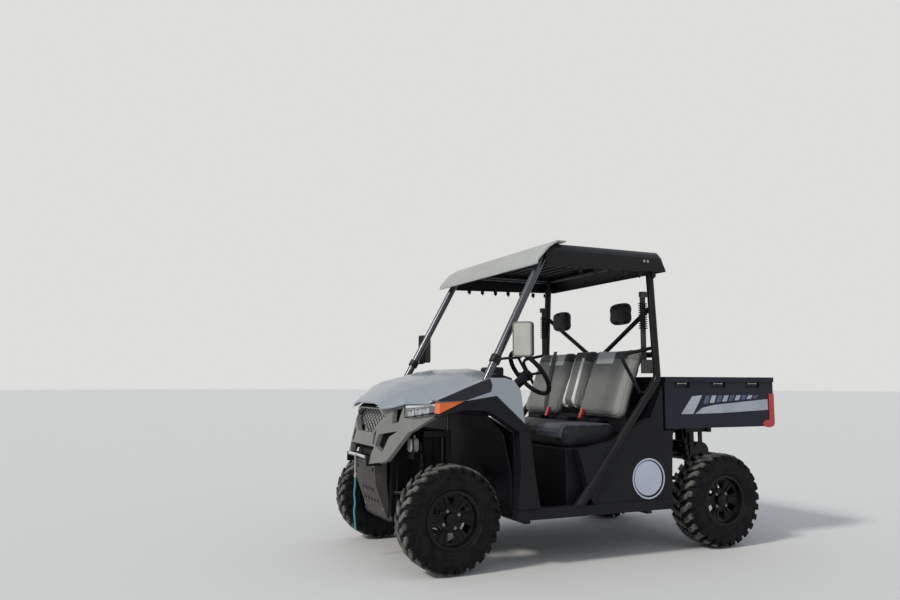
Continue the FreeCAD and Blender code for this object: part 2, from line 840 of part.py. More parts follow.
def running_gear():
    """Arms, shocks, shafts, rear hubs and the two knuckles."""
    half_tube = size("frame_tube") / 2
    ends = [
        ("front", front_x, size("kingpin_y"), size("front_tower_z"), size("shock_offset"),
         (size("frame_front_x") - half_tube, size("front_tower_rear_x") - half_tube)),
        ("rear", rear_x, size("rear_hub_y"), size("rear_frame_z"), -size("shock_offset"),
         (size("rear_tower_front_x") - half_tube, size("rear_tower_rear_x") - half_tube)),
    ]
    shocks = []
    for name, axle_x, joint_y, top_rail_z, offset, posts in ends:
        arms, seat_z = arm_pair(axle_x, joint_y, posts)
        node(name + "_arms", made(name + "_arms", Part.makeCompound(arms + [flip(a) for a in arms])))
        shock = shock_shape(axle_x + offset, seat_z, top_rail_z)
        shocks += [shock, flip(shock)]
    node("shocks", made("shocks", Part.makeCompound(shocks)))
    shafts = [driveline(front_x, size("kingpin_y") - size("shaft_clearance")),
              driveline(rear_x, size("rear_hub_y") - size("post_width") / 2 - seat_gap)]
    node("drive_shafts", made("drive_shafts", Part.makeCompound(shafts)))
    node("rear_hubs", made("rear_hubs", side_pair(fused(hub_carrier("rear", rear_x,
                                                                    size("rear_hub_y"))))))
    left = knuckle_shape()
    node("left_knuckle", made("left_knuckle", left))
    node("right_knuckle", made("right_knuckle", flip(left)))


def steering_axis():
    """The unit vector from the dash up along the steering column."""
    tilt = math.radians(size("steer_tilt"))
    return Vector(-math.cos(tilt), 0, math.sin(tilt))


def column_spot(distance):
    """A point of the column, this far below the middle of the steering wheel."""
    centre = Vector(size("steer_wheel_x"), size("steer_wheel_y"), size("steer_wheel_z"))
    return centre - steering_axis() * distance


def rack():
    """Tie rods and the housing in which their bar slides."""
    reach = size("kingpin_y")
    bar = rod((steer_arm_x, -reach, tie_rod_z), (steer_arm_x, reach, tie_rod_z),
              size("tie_rod_radius"))
    node("tie_rods", made("tie_rods", bar))
    half = size("rack_half_length")
    case = rod((steer_arm_x, -half, tie_rod_z), (steer_arm_x, half, tie_rod_z), size("rack_radius"))
    foot_x = size("front_tower_rear_x") - size("frame_tube") / 2
    feet = []
    for way in (1, -1):
        feet.append(Part.makeBox(steer_arm_x - foot_x, 20, tie_rod_z - frame_top_z - seat_gap,
                                 Vector(foot_x, way * (half - 20) - 10, frame_top_z + seat_gap)))
    bore = rod((steer_arm_x, -reach, tie_rod_z), (steer_arm_x, reach, tie_rod_z),
               size("tie_rod_radius") + size("running_gap"))
    node("rack_housing", made("rack_housing", fused([case] + feet).cut(bore)))


def steering_wheel():
    """Steering wheel with three spokes, and its column."""
    toward = steering_axis()
    centre = column_spot(0)
    grip = Part.makeTorus(size("steer_wheel_radius"), size("steer_grip_radius"), centre, toward)
    hub = Part.makeCylinder(38, 34, column_spot(40), toward)
    across_way = Vector(0, 1, 0)
    spokes = []
    for way in (across_way, across_way * -1, toward.cross(across_way) * -1):
        spokes.append(rod(column_spot(22), centre + way * size("steer_wheel_radius"), 9))
    node("steering_wheel", made("steering_wheel", fused([grip, hub] + spokes)))
    column = rod(column_spot(41), column_spot(41 + size("column_length")), size("column_radius"))
    sleeve = rod(column_spot(41), column_spot(240), 2 * size("column_radius"))
    node("steering_column", made("steering_column", fused([column, sleeve])))


# Cab

FLOOR_LOW = "frame_bottom_z + frame_tube + seat_gap"
FLOOR_TOP = FLOOR_LOW + " + floor_thickness"


def cab_floor():
    """Floor with a sill along each side."""
    plate = box("floor_plate", ("seat_box_rear_x", "floor_front_x"),
                ("-sill_inner_y - 1", "sill_inner_y + 1"), (FLOOR_LOW, FLOOR_TOP))
    sill = box("sill", ("sill_rear_x", "floor_front_x"), ("sill_inner_y", "body_half_width"),
               ("sill_bottom_z", "sill_top_z"))
    return node("cab_floor", joined("cab_floor", [plate, sill, mirrored("sill_mirror", sill)]))


# side outline of the wall in front of the feet, x from the floor's front and z from the frame
FOOTWELL = [(0, 9), (0, 250), (60, 505), (175, 610), (175, 705)]


def footwell():
    """Bent wall in front of the feet."""
    front = [("floor_front_x + %d" % x, "frame_bottom_z + frame_tube + %d" % z) for x, z in FOOTWELL]
    back = [("floor_front_x + %d - footwell_wall" % x, "frame_bottom_z + frame_tube + %d" % z)
            for x, z in FOOTWELL]
    return node("footwell", slab("footwell", "side", front + back[::-1], "-footwell_half_width",
                                 "footwell_half_width"))


# side outline of the dash, x from its front and z from its top
DASH = [(0, -80), (-56, -68), (-62, -16), (-95, 0), (-195, -30), (-225, -110), (-185, -245),
        (-90, -265)]


def dash():
    """Dash moulding across the cab, with the hole for the steering column."""
    seat_z = "frame_bottom_z + frame_tube + seat_gap + %d" % FOOTWELL[-1][1]
    corners = [("dash_front_x + (%d)" % x, "dash_top_z + (%d)" % z) for x, z in DASH]
    corners += [("dash_front_x - 90", seat_z), ("dash_front_x", seat_z)]
    moulding = slab("dash_moulding", "side", corners, "-dash_half_width", "dash_half_width")
    hole = made("column_hole", rod(column_spot(41), column_spot(41 + size("column_length") + seat_gap),
                                   size("column_radius") + seat_gap))
    node("dash", cut("dash", moulding, hole))


def seats():
    """Seat box, cushion, three backrests and two headrests."""
    node("seat_box", box("seat_box", ("seat_box_rear_x", "seat_box_front_x"),
                         ("-seat_half_width", "seat_half_width"),
                         (FLOOR_TOP + " + seat_gap", "seat_box_top_z")))
    cushion_top = "seat_box_top_z + seat_gap + cushion_thickness"
    node("seat_cushion", box("seat_cushion", ("cushion_rear_x", "cushion_front_x"),
                             ("-seat_half_width", "seat_half_width"),
                             ("seat_box_top_z + seat_gap", cushion_top)))
    backs = [("driver_back", "back_split_y + back_gap / 2", "seat_half_width"),
             ("middle_back", "-back_split_y + back_gap / 2", "back_split_y - back_gap / 2"),
             ("passenger_back", "-seat_half_width", "-back_split_y - back_gap / 2")]
    foot_z = cushion_top + " + back_rise"
    foot_x = ("rear_pillar_x + (back_thickness + cross_tube_radius + seat_gap"
              " + (seat_cross_z - (%s)) * sin(back_tilt)) / cos(back_tilt)" % foot_z)
    pads = []
    for name, low, high in backs:
        body = slab(name, "side", [("-back_thickness", "0"), ("0", "0"), ("0", "back_height"),
                                   ("-back_thickness", "back_height")], low, high)
        body.Placement.Rotation = Rotation(Vector(0, 1, 0), -size("back_tilt"))
        body.setExpression(".Placement.Base.x", bound(foot_x))
        body.setExpression(".Placement.Base.z", bound(foot_z))
        pads.append(body)
    node("seat_backs", grouped("seat_backs", pads))
    pad_rear = "rear_pillar_x - brace_set_back + brace_radius + seat_gap"
    pad = box("headrest_pad", (pad_rear, pad_rear + " + headrest_thickness"),
              ("headrest_y - headrest_width / 2", "headrest_y + headrest_width / 2"),
              ("headrest_z - headrest_height / 2", "headrest_z + headrest_height / 2"))
    node("headrests", both_sides("headrests", pad))


# Cage and roof

def front_pillar_spot(height):
    """The front pillar's axis at this height, as left x, y and z."""
    share = (height - size("pillar_foot_z")) / (size("cage_top_z") - size("pillar_foot_z"))
    return Vector(size("pillar_foot_x") + share * (size("pillar_top_x") - size("pillar_foot_x")),
                  size("pillar_foot_y") + share * (size("pillar_top_y") - size("pillar_foot_y")),
                  height)


def rear_pillar_spot(height):
    """The rear pillar's axis at this height above its bend."""
    top_z = size("cage_top_z")
    share = (top_z - height) / (top_z - size("rear_bend_z"))
    return Vector(size("rear_pillar_x"),
                  size("rear_pillar_y") + share * (size("cage_foot_y") - size("rear_pillar_y")),
                  height)


def front_hoop_shape(grow):
    """Front pillars with the roof's side tubes, a cross tube and the dash bar."""
    radius = size("cage_radius") + grow
    top_z = size("cage_top_z")
    top_y = size("pillar_top_y")
    top = front_pillar_spot(top_z)
    side = tube([front_pillar_spot(size("pillar_foot_z")), top,
                 (size("rear_pillar_x") + size("cage_radius") + seat_gap, top_y, top_z)],
                radius, size("cage_bend"))
    cross_x = size("pillar_top_x") - size("cage_bend")
    cross = rod((cross_x, -top_y, top_z), (cross_x, top_y, top_z), radius - 5)
    bar_z = size("dash_bar_z")
    bar = rod((size("pillar_foot_x"), -size("pillar_foot_y"), bar_z),
              (size("pillar_foot_x"), size("pillar_foot_y"), bar_z), size("dash_bar_radius") + grow)
    legs = []
    for way in (1, -1):
        legs.append(rod((size("pillar_foot_x") + 7, way * size("frame_y"), bar_z),
                        (size("pillar_foot_x") + 7, way * size("frame_y"),
                         size("front_tower_z") + seat_gap), size("dash_bar_radius") - 2 + grow))
    return fused([side, flip(side), cross, bar] + legs)


def rear_leg_shape(grow):
    """Rear pillar with its slanted leg down to the sill."""
    points = [rear_pillar_spot(size("cage_top_z") + size("cage_radius") - 2),
              rear_pillar_spot(size("rear_bend_z")),
              (size("sill_foot_x"), size("cage_foot_y"), size("sill_top_z") + 16.2)]
    return tube(points, size("cage_radius") + grow, size("cage_bend"))


# place along x where the second tube meets the side panel
INNER_TUBE_FOOT_X = -62


def cage():
    """Front hoop, rear hoop with headrest tubes and the side loops."""
    node("front_hoop", made("front_hoop", front_hoop_shape(0)))
    leg = rear_leg_shape(0)
    bars = []
    for height in (size("cage_top_z"), size("seat_cross_z")):
        end = rear_pillar_spot(height)
        bars.append(rod(end, (end.x, -end.y, height), size("cross_tube_radius")))
    high = rear_pillar_spot(size("brace_top_z"))
    for way in (1, -1):
        brace_x = high.x - size("brace_set_back")
        bars.append(rod((brace_x, way * 50, size("seat_cross_z")), (brace_x, way * high.y, high.z),
                        size("brace_radius")))
    radius = size("inner_tube_radius")
    high_end = rear_pillar_spot(size("rear_bend_z") + 70)
    panel_top = size("bed_bottom_z") - 52
    inner = tube([(high_end.x, high_end.y - 12, high_end.z + 60),
                  (high_end.x + 42, high_end.y - 12, high_end.z - 100),
                  (INNER_TUBE_FOOT_X, high_end.y - 12, panel_top)], radius, 60)
    node("rear_hoop", made("rear_hoop", fused([leg, flip(leg), inner, flip(inner)] + bars)))
    loop_z = size("seat_cross_z") + 45
    start = rear_pillar_spot(loop_z)
    reach_y = size("cage_radius") + size("loop_tube_radius") + 2 * seat_gap
    pillar_x = size("rear_pillar_x")
    foot_y = size("cage_foot_y") - reach_y
    loop = tube([(pillar_x, start.y - reach_y, loop_z),
                 (pillar_x + 255, start.y - reach_y, loop_z - 53),
                 (pillar_x + 112, foot_y - 2, loop_z - 300),
                 (pillar_x + 62, foot_y, loop_z - 305)], size("loop_tube_radius"), 30)
    node("side_loops", made("side_loops", side_pair(loop)))


def roof():
    """Roof shell and the visor panel in front of it."""
    outer = slab("roof_outer", "side", [
        ("roof_visor_x + 66", "roof_lip_z - 4"), ("roof_visor_x + 66", "roof_top_z - 44"),
        ("roof_visor_x", "roof_top_z"), ("roof_rear_x + 50", "roof_top_z"),
        ("roof_rear_x + 12", "roof_top_z - 34"), ("roof_rear_x", "roof_top_z - 90"),
        ("roof_rear_x", "roof_top_z - 134")], "-roof_half_width", "roof_half_width")
    ceiling = "cage_top_z + cage_radius + seat_gap"
    inner = slab("roof_inner", "side", [
        ("roof_visor_x + 90", "roof_lip_z - 40"), ("roof_visor_x + 90", "roof_top_z - 52 - roof_wall"),
        ("roof_visor_x + 50", ceiling + " - 22"), ("roof_visor_x", ceiling),
        ("roof_rear_x + 48", ceiling), ("roof_rear_x + 12 + roof_wall", "roof_top_z - 48"),
        ("roof_rear_x + roof_wall", "roof_top_z - 110"), ("roof_rear_x + roof_wall", "roof_lip_z - 80")],
        "-roof_half_width + roof_wall", "roof_half_width - roof_wall")
    node("roof_shell", cut("roof_shell", outer, inner))
    under = "roof_top_z + seat_gap"
    node("roof_visor", slab("roof_visor", "side", [
        ("roof_lip_x", "roof_lip_z"), ("roof_lip_x - 6", "roof_lip_z + 26"),
        ("roof_visor_x + 68", "roof_top_z - 43"), ("roof_visor_x + 2", under),
        ("roof_visor_x - 60", under), ("roof_visor_x - 60", under + " + visor_wall"),
        ("roof_visor_x + 4", under + " + visor_wall"), ("roof_visor_x + 80", "roof_top_z - 35"),
        ("roof_lip_x + 8", "roof_lip_z + 30"), ("roof_lip_x + 14", "roof_lip_z")],
        "-roof_half_width - visor_overhang", "roof_half_width + visor_overhang"))


# Nose and hood

# place along x, half width, height of the edge, half width and height of the crown
HOOD_SECTIONS = [
    (1380, 280, 952, 150, 985),
    (1325, 345, 962, 165, 1033),
    (1265, 405, 985, 190, 1072),
    (1196, 612, 992, 205, 1112),
    (1056, 640, 1050, 230, 1145),
    (911, 642, 1108, 275, 1178),
    (790, 642, 1134, 300, 1197),
]


def hood_shape(inset):
    """The hood's facets through its sections, or the space under them."""
    sections = []
    for place, half, edge_z, crown_half, crown_z in HOOD_SECTIONS:
        shoulder = (half + crown_half) / 2 + 18
        shoulder_z = edge_z + 0.72 * (crown_z - edge_z)
        bottom = edge_z - size("hood_lip") - abs(inset)
        right = [(place, -(half - inset), bottom), (place, -(half - inset), edge_z - inset),
                 (place, -(shoulder - inset / 2), shoulder_z - inset),
                 (place, -crown_half, crown_z - inset)]
        sections.append(right + [(x, -y, z) for x, y, z in reversed(right)])
    return ruled(sections)


def hood():
    """Faceted hood, open below."""
    return node("hood", made("hood", hood_shape(0).cut(hood_shape(size("hood_wall")))))


# side outlines, x from the front axle and z from the hub
FENDER = [(108, 678), (-70, 686), (-261, 713), (-453, 545), (-426, 744), (-380, 803),
          (-316, 820), (-220, 820), (-154, 799), (131, 689)]
FLARE = [(112, 593), (108, 608), (-70, 684), (-261, 711), (-452, 543), (-479, 539), (-526, 192)]
ARCH = [(-420, 276), (-413, 492), (-200, 623), (-40, 627)]


def from_wheel(corners):
    """Corners counted from the front axle and hub as expressions."""
    return [("front_axle_x + (%d)" % x, "tyre_radius + (%d)" % z) for x, z in corners]


def fenders():
    """Silver fenders over the black arches."""
    skin = slab("fender_skin", "side", from_wheel(FENDER), "fender_inner_y", "body_half_width - 4")
    pillars = made("pillar_room", front_hoop_shape(seat_gap))
    trimmed = cut("fender_trimmed", skin, pillars)
    node("front_fenders", both_sides("front_fenders", trimmed))
    foot = [("front_axle_x - 555", "sill_top_z + seat_gap"),
            ("front_axle_x - 398", "sill_top_z + seat_gap")]
    flare = slab("arch_flare", "side", from_wheel(FLARE) + foot + from_wheel(ARCH),
                 "sill_inner_y - 6", "body_half_width + 6")
    node("front_arches", both_sides("front_arches", flare))
    lamp = slab("corner_lamp", "side", from_wheel([(112, 610), (108, 677), (-60, 684)]),
                "fender_inner_y", "body_half_width - 6")
    node("corner_lamps", both_sides("corner_lamps", lamp))


# left half of the nose seen from the front, y and z from its bottom
NOSE_FACE = [(216, 335), (312, 330), (400, 358), (622, 372), (622, 300), (428, 184), (345, 10),
             (204, -14), (204, 40), (234, 92)]
GRILLE = [(180, 318), (276, 278), (146, 173)]
FANG = [(250, 168), (372, 192), (334, 158), (306, 62), (241, 99)]
VENT = [(322, 318), (374, 330), (366, 246), (334, 236)]
SLIT = [(176, 168), (214, 196), (226, 110), (196, 98)]
# plan of the nose, x back from its front and y
NOSE_PLAN = [(0, 235), (45, 330), (145, 450), (212, 622)]
# headlamp sections: place across, x of the back and front, z from and to
LAMP = [(392, 1178, 1268, 892, 975), (638, 1086, 1164, 930, 1004)]


def nose_outline(corners, grow=0):
    """A symmetric front outline from its left half."""
    left = [("%d" % (y + grow), "nose_bottom_z + (%d)" % z) for y, z in corners]
    right = [("-(%s)" % y, z) for y, z in reversed(left)]
    return left + right


def nose_x(height, back):
    """Place along x of the leaning nose at this height, this far behind its front face."""
    return size("nose_front_x") - size("nose_lean") * (height - size("nose_bottom_z")) - back


def nose_band():
    """Leaning wall that follows the nose's plan."""
    sections = []
    for height in (size("nose_bottom_z") - 30, size("nose_top_z") + 50):
        front = [(nose_x(height, x), y, height) for x, y in NOSE_PLAN]
        back = [(nose_x(height, x + size("nose_wall")), y, height) for x, y in NOSE_PLAN]
        ring = [(x, -y, z) for x, y, z in reversed(front)] + front
        sections.append(ring + back[::-1] + [(x, -y, z) for x, y, z in back])
    return ruled(sections)


def lamp_block():
    """Headlamp between the nose and the fender, as one wedge."""
    return ruled([[(x_front, y, z_low), (x_front, y, z_high), (x_rear, y, z_high), (x_rear, y, z_low)]
                  for y, x_rear, x_front, z_low, z_high in LAMP])


def grille_plate():
    """Leaning plate with hexagonal openings."""
    rim = [(y, z) for y, z in GRILLE] + [(-y, z) for y, z in reversed(GRILLE)]
    lean = math.atan(size("nose_lean"))
    foot_z = size("nose_bottom_z")
    foot_x = nose_x(foot_z, size("grille_set_back"))

    def wire(spots):
        points = [Vector(0, y, z / math.cos(lean)) for y, z in spots]
        return Part.makePolygon(points + points[:1])

    def inside(y, z, margin):
        for (y1, z1), (y2, z2) in zip(rim, rim[1:] + rim[:1]):
            side = (y2 - y1) * (z - z1) - (z2 - z1) * (y - y1)
            if -side < margin * math.hypot(y2 - y1, z2 - z1):
                return False
        return True

    cell = size("grille_cell")
    pitch = size("grille_pitch")
    row_step = pitch * math.sqrt(3) / 2
    wires = [wire([(y + math.copysign(5, y), z) for y, z in rim])]
    for row in range(12):
        for column in range(-11, 12):
            y = (column + 0.5 * (row % 2)) * pitch
            z = rim[0][1] - size("grille_rim") - cell - row * row_step
            if inside(y, z, size("grille_rim") + cell - 4):
                wires.append(wire([(y + cell * math.sin(k * math.pi / 3),
                                    z + cell * math.cos(k * math.pi / 3)) for k in range(6)]))
    plate = Part.makeFace(wires, "Part::FaceMakerBullseye").extrude(
        Vector(-size("grille_wall"), 0, 0))
    plate.rotate(Vector(0, 0, 0), Vector(0, 1, 0), -math.degrees(lean))
    plate.translate(Vector(foot_x, 0, foot_z))
    return plate


def nose():
    """Fascia, grille and headlamps."""
    depth = ("nose_front_x - 400", "nose_front_x + 60")
    face = slab("fascia_face", "front", nose_outline(NOSE_FACE), *depth)
    plate = common("fascia_plate", face, made("fascia_band", nose_band()))
    holes = [slab("grille_opening", "front", nose_outline(GRILLE), *depth)]
    for name, corners in (("fang", FANG), ("vent", VENT), ("slit", SLIT)):
        hole = slab(name + "_opening", "front",
                    [("%d" % y, "nose_bottom_z + %d" % z) for y, z in corners], *depth)
        holes += [hole, mirrored(name + "_opening_mirror", hole)]
    pierced = cut("fascia_pierced", plate, grouped("fascia_holes", holes))
    behind_lamps = cut("fascia_beside_lamps", pierced, made("lamp_room", side_pair(lamp_block())))
    node("front_fascia", cut("front_fascia", behind_lamps, made("hood_room", hood_shape(-seat_gap))))
    node("grille", made("grille", grille_plate()))
    node("headlamps", made("headlamps", side_pair(lamp_block().cut(hood_shape(-seat_gap)))))
    node("radiator", box("radiator", ("frame_front_x - radiator_depth", "frame_front_x"),
                         ("-radiator_half_width", "radiator_half_width"),
                         ("front_tower_z + seat_gap", "nose_top_z - 25")))


def winch():
    """Bumper bracket with its bar, the winch on it and the hook with its strap."""
    floor_z = size("winch_z") - size("winch_radius") - 10
    half = size("bracket_half_width")
    wall = size("bracket_wall")
    start_x = size("frame_front_x") + seat_gap
    bar_x = size("fairlead_x")
    bar_z = size("nose_bottom_z") + 12
    depth = size("fairlead_depth")
    height = size("fairlead_height")
    bar = Part.makeBox(depth, 2 * half, height, Vector(bar_x, -half, bar_z))
    arms = [Part.makeBox(bar_x + depth - start_x, wall, 60, Vector(start_x, low_y, bar_z - 40))
            for low_y in (half - wall, -half)]
    node("bumper_bracket", made("bumper_bracket", fused([bar] + arms)))
    base_half = half - wall - seat_gap
    base = Part.makeBox(100, 2 * base_half, 14, Vector(size("winch_x") - 35, -base_half, floor_z))
    drum_half = size("winch_half_drum")
    drum = rod((size("winch_x"), -drum_half - 60, size("winch_z")),
               (size("winch_x"), drum_half + 60, size("winch_z")), size("winch_radius") - 7)
    ends = [rod((size("winch_x"), way * drum_half, size("winch_z")),
                (size("winch_x"), way * (drum_half + 60), size("winch_z")), size("winch_radius"))
            for way in (1, -1)]
    node("winch", made("winch", fused([drum, base] + ends)))
    hook_x = bar_x + depth + seat_gap + size("hook_wire_radius") + 2
    ring_z = bar_z - size("hook_drop")
    ring = Part.makeTorus(size("hook_radius"), size("hook_wire_radius"),
                          Vector(hook_x, size("hook_y"), ring_z), Vector(1, 0, 0))
    shank = rod((hook_x, size("hook_y"), ring_z + size("hook_radius")),
                (hook_x, size("hook_y"), bar_z + height), size("hook_wire_radius") + 2)
    node("winch_hook", made("winch_hook", fused([ring, shank])))
    top_z = ring_z - size("hook_radius") - size("hook_wire_radius") - seat_gap
    route = [Vector(hook_x + x, size("hook_y") + y, top_z - drop) for x, y, drop in STRAP]
    node("winch_strap", made("winch_strap", limp_tube(route, size("strap_radius"))))


# place along x and y from the hook, and drop below it
STRAP = [(0, 0, 0), (-1, 2, 45), (6, -3, 95), (-2, 3, 148), (5, -2, 203), (-1, 2, 262), (-8, 0, 322)]


def limp_tube(route, radius):
    """A cord along runs whose corners are rounded in proportion to the shorter run."""
    edges = []
    start = route[0]
    radii = []
    for before, corner, after in zip(route, route[1:], route[2:]):
        back = before - corner
        on = after - corner
        reach = 0.45 * min(back.Length, on.Length)
        half_turn = (math.pi - back.getAngle(on)) / 2
        bend = reach / math.tan(half_turn)
        radii.append(bend)
        back.normalize()
        on.normalize()
        first = corner + back * reach
        last = corner + on * reach
        middle = corner + (back + on).normalize() * (bend / math.cos(half_turn) - bend)
        edges.append(Part.LineSegment(start, first).toShape())
        edges.append(Part.Arc(first, middle, last).toShape())
        start = last
    edges.append(Part.LineSegment(start, route[-1]).toShape())
    path = Part.Wire(edges)
    print("strap radii", [round(bend) for bend in radii], "length %.1f" % path.Length)
    ring = Part.Wire(Part.makeCircle(radius, route[0], route[1] - route[0]))
    solid = path.makePipeShell([ring], True, True)
    print("strap volume %.0f, section times length %.0f" % (
        solid.Volume, math.pi * radius * radius * path.Length))
    return solid


# Rear of the body

def side_panels():
    """Black panels between the door opening and the rear wheel."""
    panel = slab("quarter_panel", "side", [
        ("230", "seat_box_top_z - 6"), ("125", "sill_top_z + seat_gap"),
        ("sill_rear_x", "sill_top_z + seat_gap"), ("sill_rear_x - 12", "bed_bottom_z - 123"),
        ("sill_rear_x - 22", "bed_bottom_z - 10"), ("rear_pillar_x - 30", "bed_bottom_z - 10"),
        ("rear_pillar_x - 30", "rear_bend_z - 40"), ("rear_pillar_x + 75", "rear_bend_z - 250"),
        ("-35", "seat_box_top_z + 40")],
        "body_half_width - side_panel_sink - side_panel_wall", "body_half_width - side_panel_sink")
    leg = made("leg_room", rear_leg_shape(seat_gap))
    node("side_panels", both_sides("side_panels", cut("panel_trimmed", panel, leg)))


def power():
    """Engine block, silencer and tow hitch."""
    node("engine_block", box("engine_block", ("engine_rear_x", "engine_front_x"),
                             ("-engine_half_width", "engine_half_width"),
                             ("frame_bottom_z + frame_tube + seat_gap", "engine_top_z")))
    half = size("silencer_half_length")
    can_x = size("silencer_x")
    can_z = size("silencer_z")
    can = rod((can_x, -half, can_z), (can_x, half, can_z), size("silencer_radius"))
    pipe = rod((can_x, 40, can_z), (size("engine_rear_x") - seat_gap, 40, can_z),
               size("pipe_radius"))
    strap_top = size("rear_frame_z") - size("frame_tube") - seat_gap
    straps = [Part.makeBox(30, 15, strap_top - can_z, Vector(can_x - 15, low_y, can_z))
              for low_y in (half - 15, -half)]
    node("exhaust", made("exhaust", fused([can, pipe] + straps)))
    side = ("-hitch_half_width", "hitch_half_width")
    bar = box("hitch_bar", ("frame_rear_x - 60", "rear_tower_rear_x"), side,
              (FLOOR_LOW, FLOOR_LOW + " + 50"))
    tongue = box("hitch_tongue", ("frame_rear_x - 110", "frame_rear_x - 60"), side,
                 (FLOOR_LOW + " + 18", FLOOR_LOW + " + 32"))
    hole = round_bar("hitch_hole", "hitch_hole_radius", "100",
                     ("frame_rear_x - 85", "0", FLOOR_LOW), Rotation())
    node("tow_hitch", cut("tow_hitch", joined("hitch_body", [bar, tongue]), hole))


def eye_plate(name, x_middle, y_pair, z_middle, reach, top, pin):
    """A hinge ear below a surface, with a hole round its pin."""
    plate = box(name + "_plate", ("%s - %s" % (x_middle, reach), "%s + %s" % (x_middle, reach)),
                y_pair, ("%s - %s" % (z_middle, reach), top))
    hole = round_bar(name + "_hole", pin + " + running_gap", "200",
                     (x_middle, "(%s) - 50" % y_pair[0], z_middle), TO_LEFT)
    return cut(name, plate, hole)


def cargo_bed():
    """Bed with its rails, hinge ears, strut ear and the gate's hinge arms."""
    wall_in = "bed_half_width - bed_wall"
    floor = box("bed_floor_plate", ("bed_rear_x", "bed_front_x"), ("-bed_half_width", "bed_half_width"),
                ("bed_bottom_z", "bed_bottom_z + bed_floor"))
    front = box("bed_front_wall", ("bed_front_x - bed_wall", "bed_front_x"),
                ("-bed_half_width", "bed_half_width"), ("bed_bottom_z", "bed_top_z"))
    left = [
        box("bed_left_wall", ("bed_rear_x", "bed_front_x"), (wall_in, "bed_half_width"),
            ("bed_bottom_z", "bed_top_z")),
        box("bed_left_rail", ("bed_rear_x", "bed_front_x"),
            (wall_in, "bed_half_width + rail_overhang"), ("bed_top_z - rail_depth", "bed_top_z")),
        eye_plate("bed_ear", "bed_pivot_x",
                  ("frame_y + frame_tube / 2 + ear_gap",
                   "frame_y + frame_tube / 2 + ear_gap + ear_wall"),
                  "bed_pivot_z", "(pivot_radius + 8)", "bed_bottom_z + 1", "pivot_radius"),
        box("strut_ear", ("strut_eye_x - 20", "strut_eye_x + 20"),
            ("strut_y + strut_eye_width / 2 + ear_gap",
             "strut_y + strut_eye_width / 2 + ear_gap + ear_wall"),
            ("strut_eye_z - 18", "bed_bottom_z + 1")),
        box("gate_arm", ("gate_hinge_x - gate_pin_radius - 4", "bed_rear_x + 1"),
            ("gate_arm_y", "gate_arm_y + gate_arm_wall"),
            ("gate_hinge_z - gate_pin_radius - 4", "bed_bottom_z + bed_floor")),
        round_bar("gate_pin", "gate_pin_radius", "gate_arm_wall + gate_ear_wall + 4",
                  ("gate_hinge_x", "gate_arm_y", "gate_hinge_z"), TO_LEFT),
    ]
    parts = [floor, front]
    for piece in left:
        parts += [piece, mirrored(piece.Name + "_mirror", piece)]
    pockets = []
    for k in range(3):
        middle = "first_pocket_x - %d * pocket_pitch" % k
        pockets.append(box("bed_pocket_%d" % k,
                           (middle + " - pocket_length / 2", middle + " + pocket_length / 2"),
                           ("bed_half_width - pocket_depth", "bed_half_width + 1"),
                           ("bed_top_z - rail_depth - pocket_height", "bed_top_z - rail_depth")))
    pockets += [mirrored(piece.Name + "_mirror", piece) for piece in pockets]
    node("cargo_bed", cut("cargo_bed", joined("bed_body", parts), grouped("bed_pockets", pockets)))


def tailgate():
    """Drop gate between the bed's walls with ears round its hinge pins."""
    wall_in = "bed_half_width - bed_wall"
    panel = box("gate_panel", ("bed_rear_x + gate_gap", "bed_rear_x + gate_gap + gate_wall"),
                ("-(%s) + gate_gap" % wall_in, "%s - gate_gap" % wall_in),
                ("bed_bottom_z + bed_floor + gate_gap", "bed_top_z - 4"))
    ear_low = "gate_arm_y + gate_arm_wall + 1"
    ear = slab("gate_ear", "side", [
        ("bed_rear_x + gate_gap + 2", "bed_bottom_z + bed_floor + gate_gap"),
        ("bed_rear_x + gate_gap + 2", "bed_bottom_z + bed_floor + 50"),
        ("gate_hinge_x - 10", "bed_bottom_z + bed_floor + 12"),
        ("gate_hinge_x - 10", "gate_hinge_z - 10"), ("gate_hinge_x + 9", "gate_hinge_z - 10"),
        ("gate_hinge_x + 9", "bed_bottom_z + bed_floor + gate_gap")],
        ear_low, ear_low + " + gate_ear_wall")
    hole = round_bar("gate_hole", "gate_pin_radius + running_gap", "200",
                     ("gate_hinge_x", "gate_arm_y - 50", "gate_hinge_z"), TO_LEFT)
    eared = cut("gate_ear_bored", ear, hole)
    node("tailgate", joined("tailgate", [panel, eared, mirrored("gate_ear_mirror", eared)]))


def tail_lamps():
    """Red lamps round the rear corners of the bed."""
    z_pair = ("bed_bottom_z + 20", "bed_bottom_z + 230")
    side = box("lamp_side", ("bed_rear_x - seat_gap - lamp_wall", "bed_rear_x + 45"),
               ("bed_half_width + seat_gap", "bed_half_width + seat_gap + lamp_wall"), z_pair)
    back = box("lamp_back", ("bed_rear_x - seat_gap - lamp_wall", "bed_rear_x - seat_gap"),
               ("bed_half_width - bed_wall + 2", "bed_half_width + seat_gap + lamp_wall"), z_pair)
    node("tail_lamps", both_sides("tail_lamps", joined("tail_lamp", [side, back])))


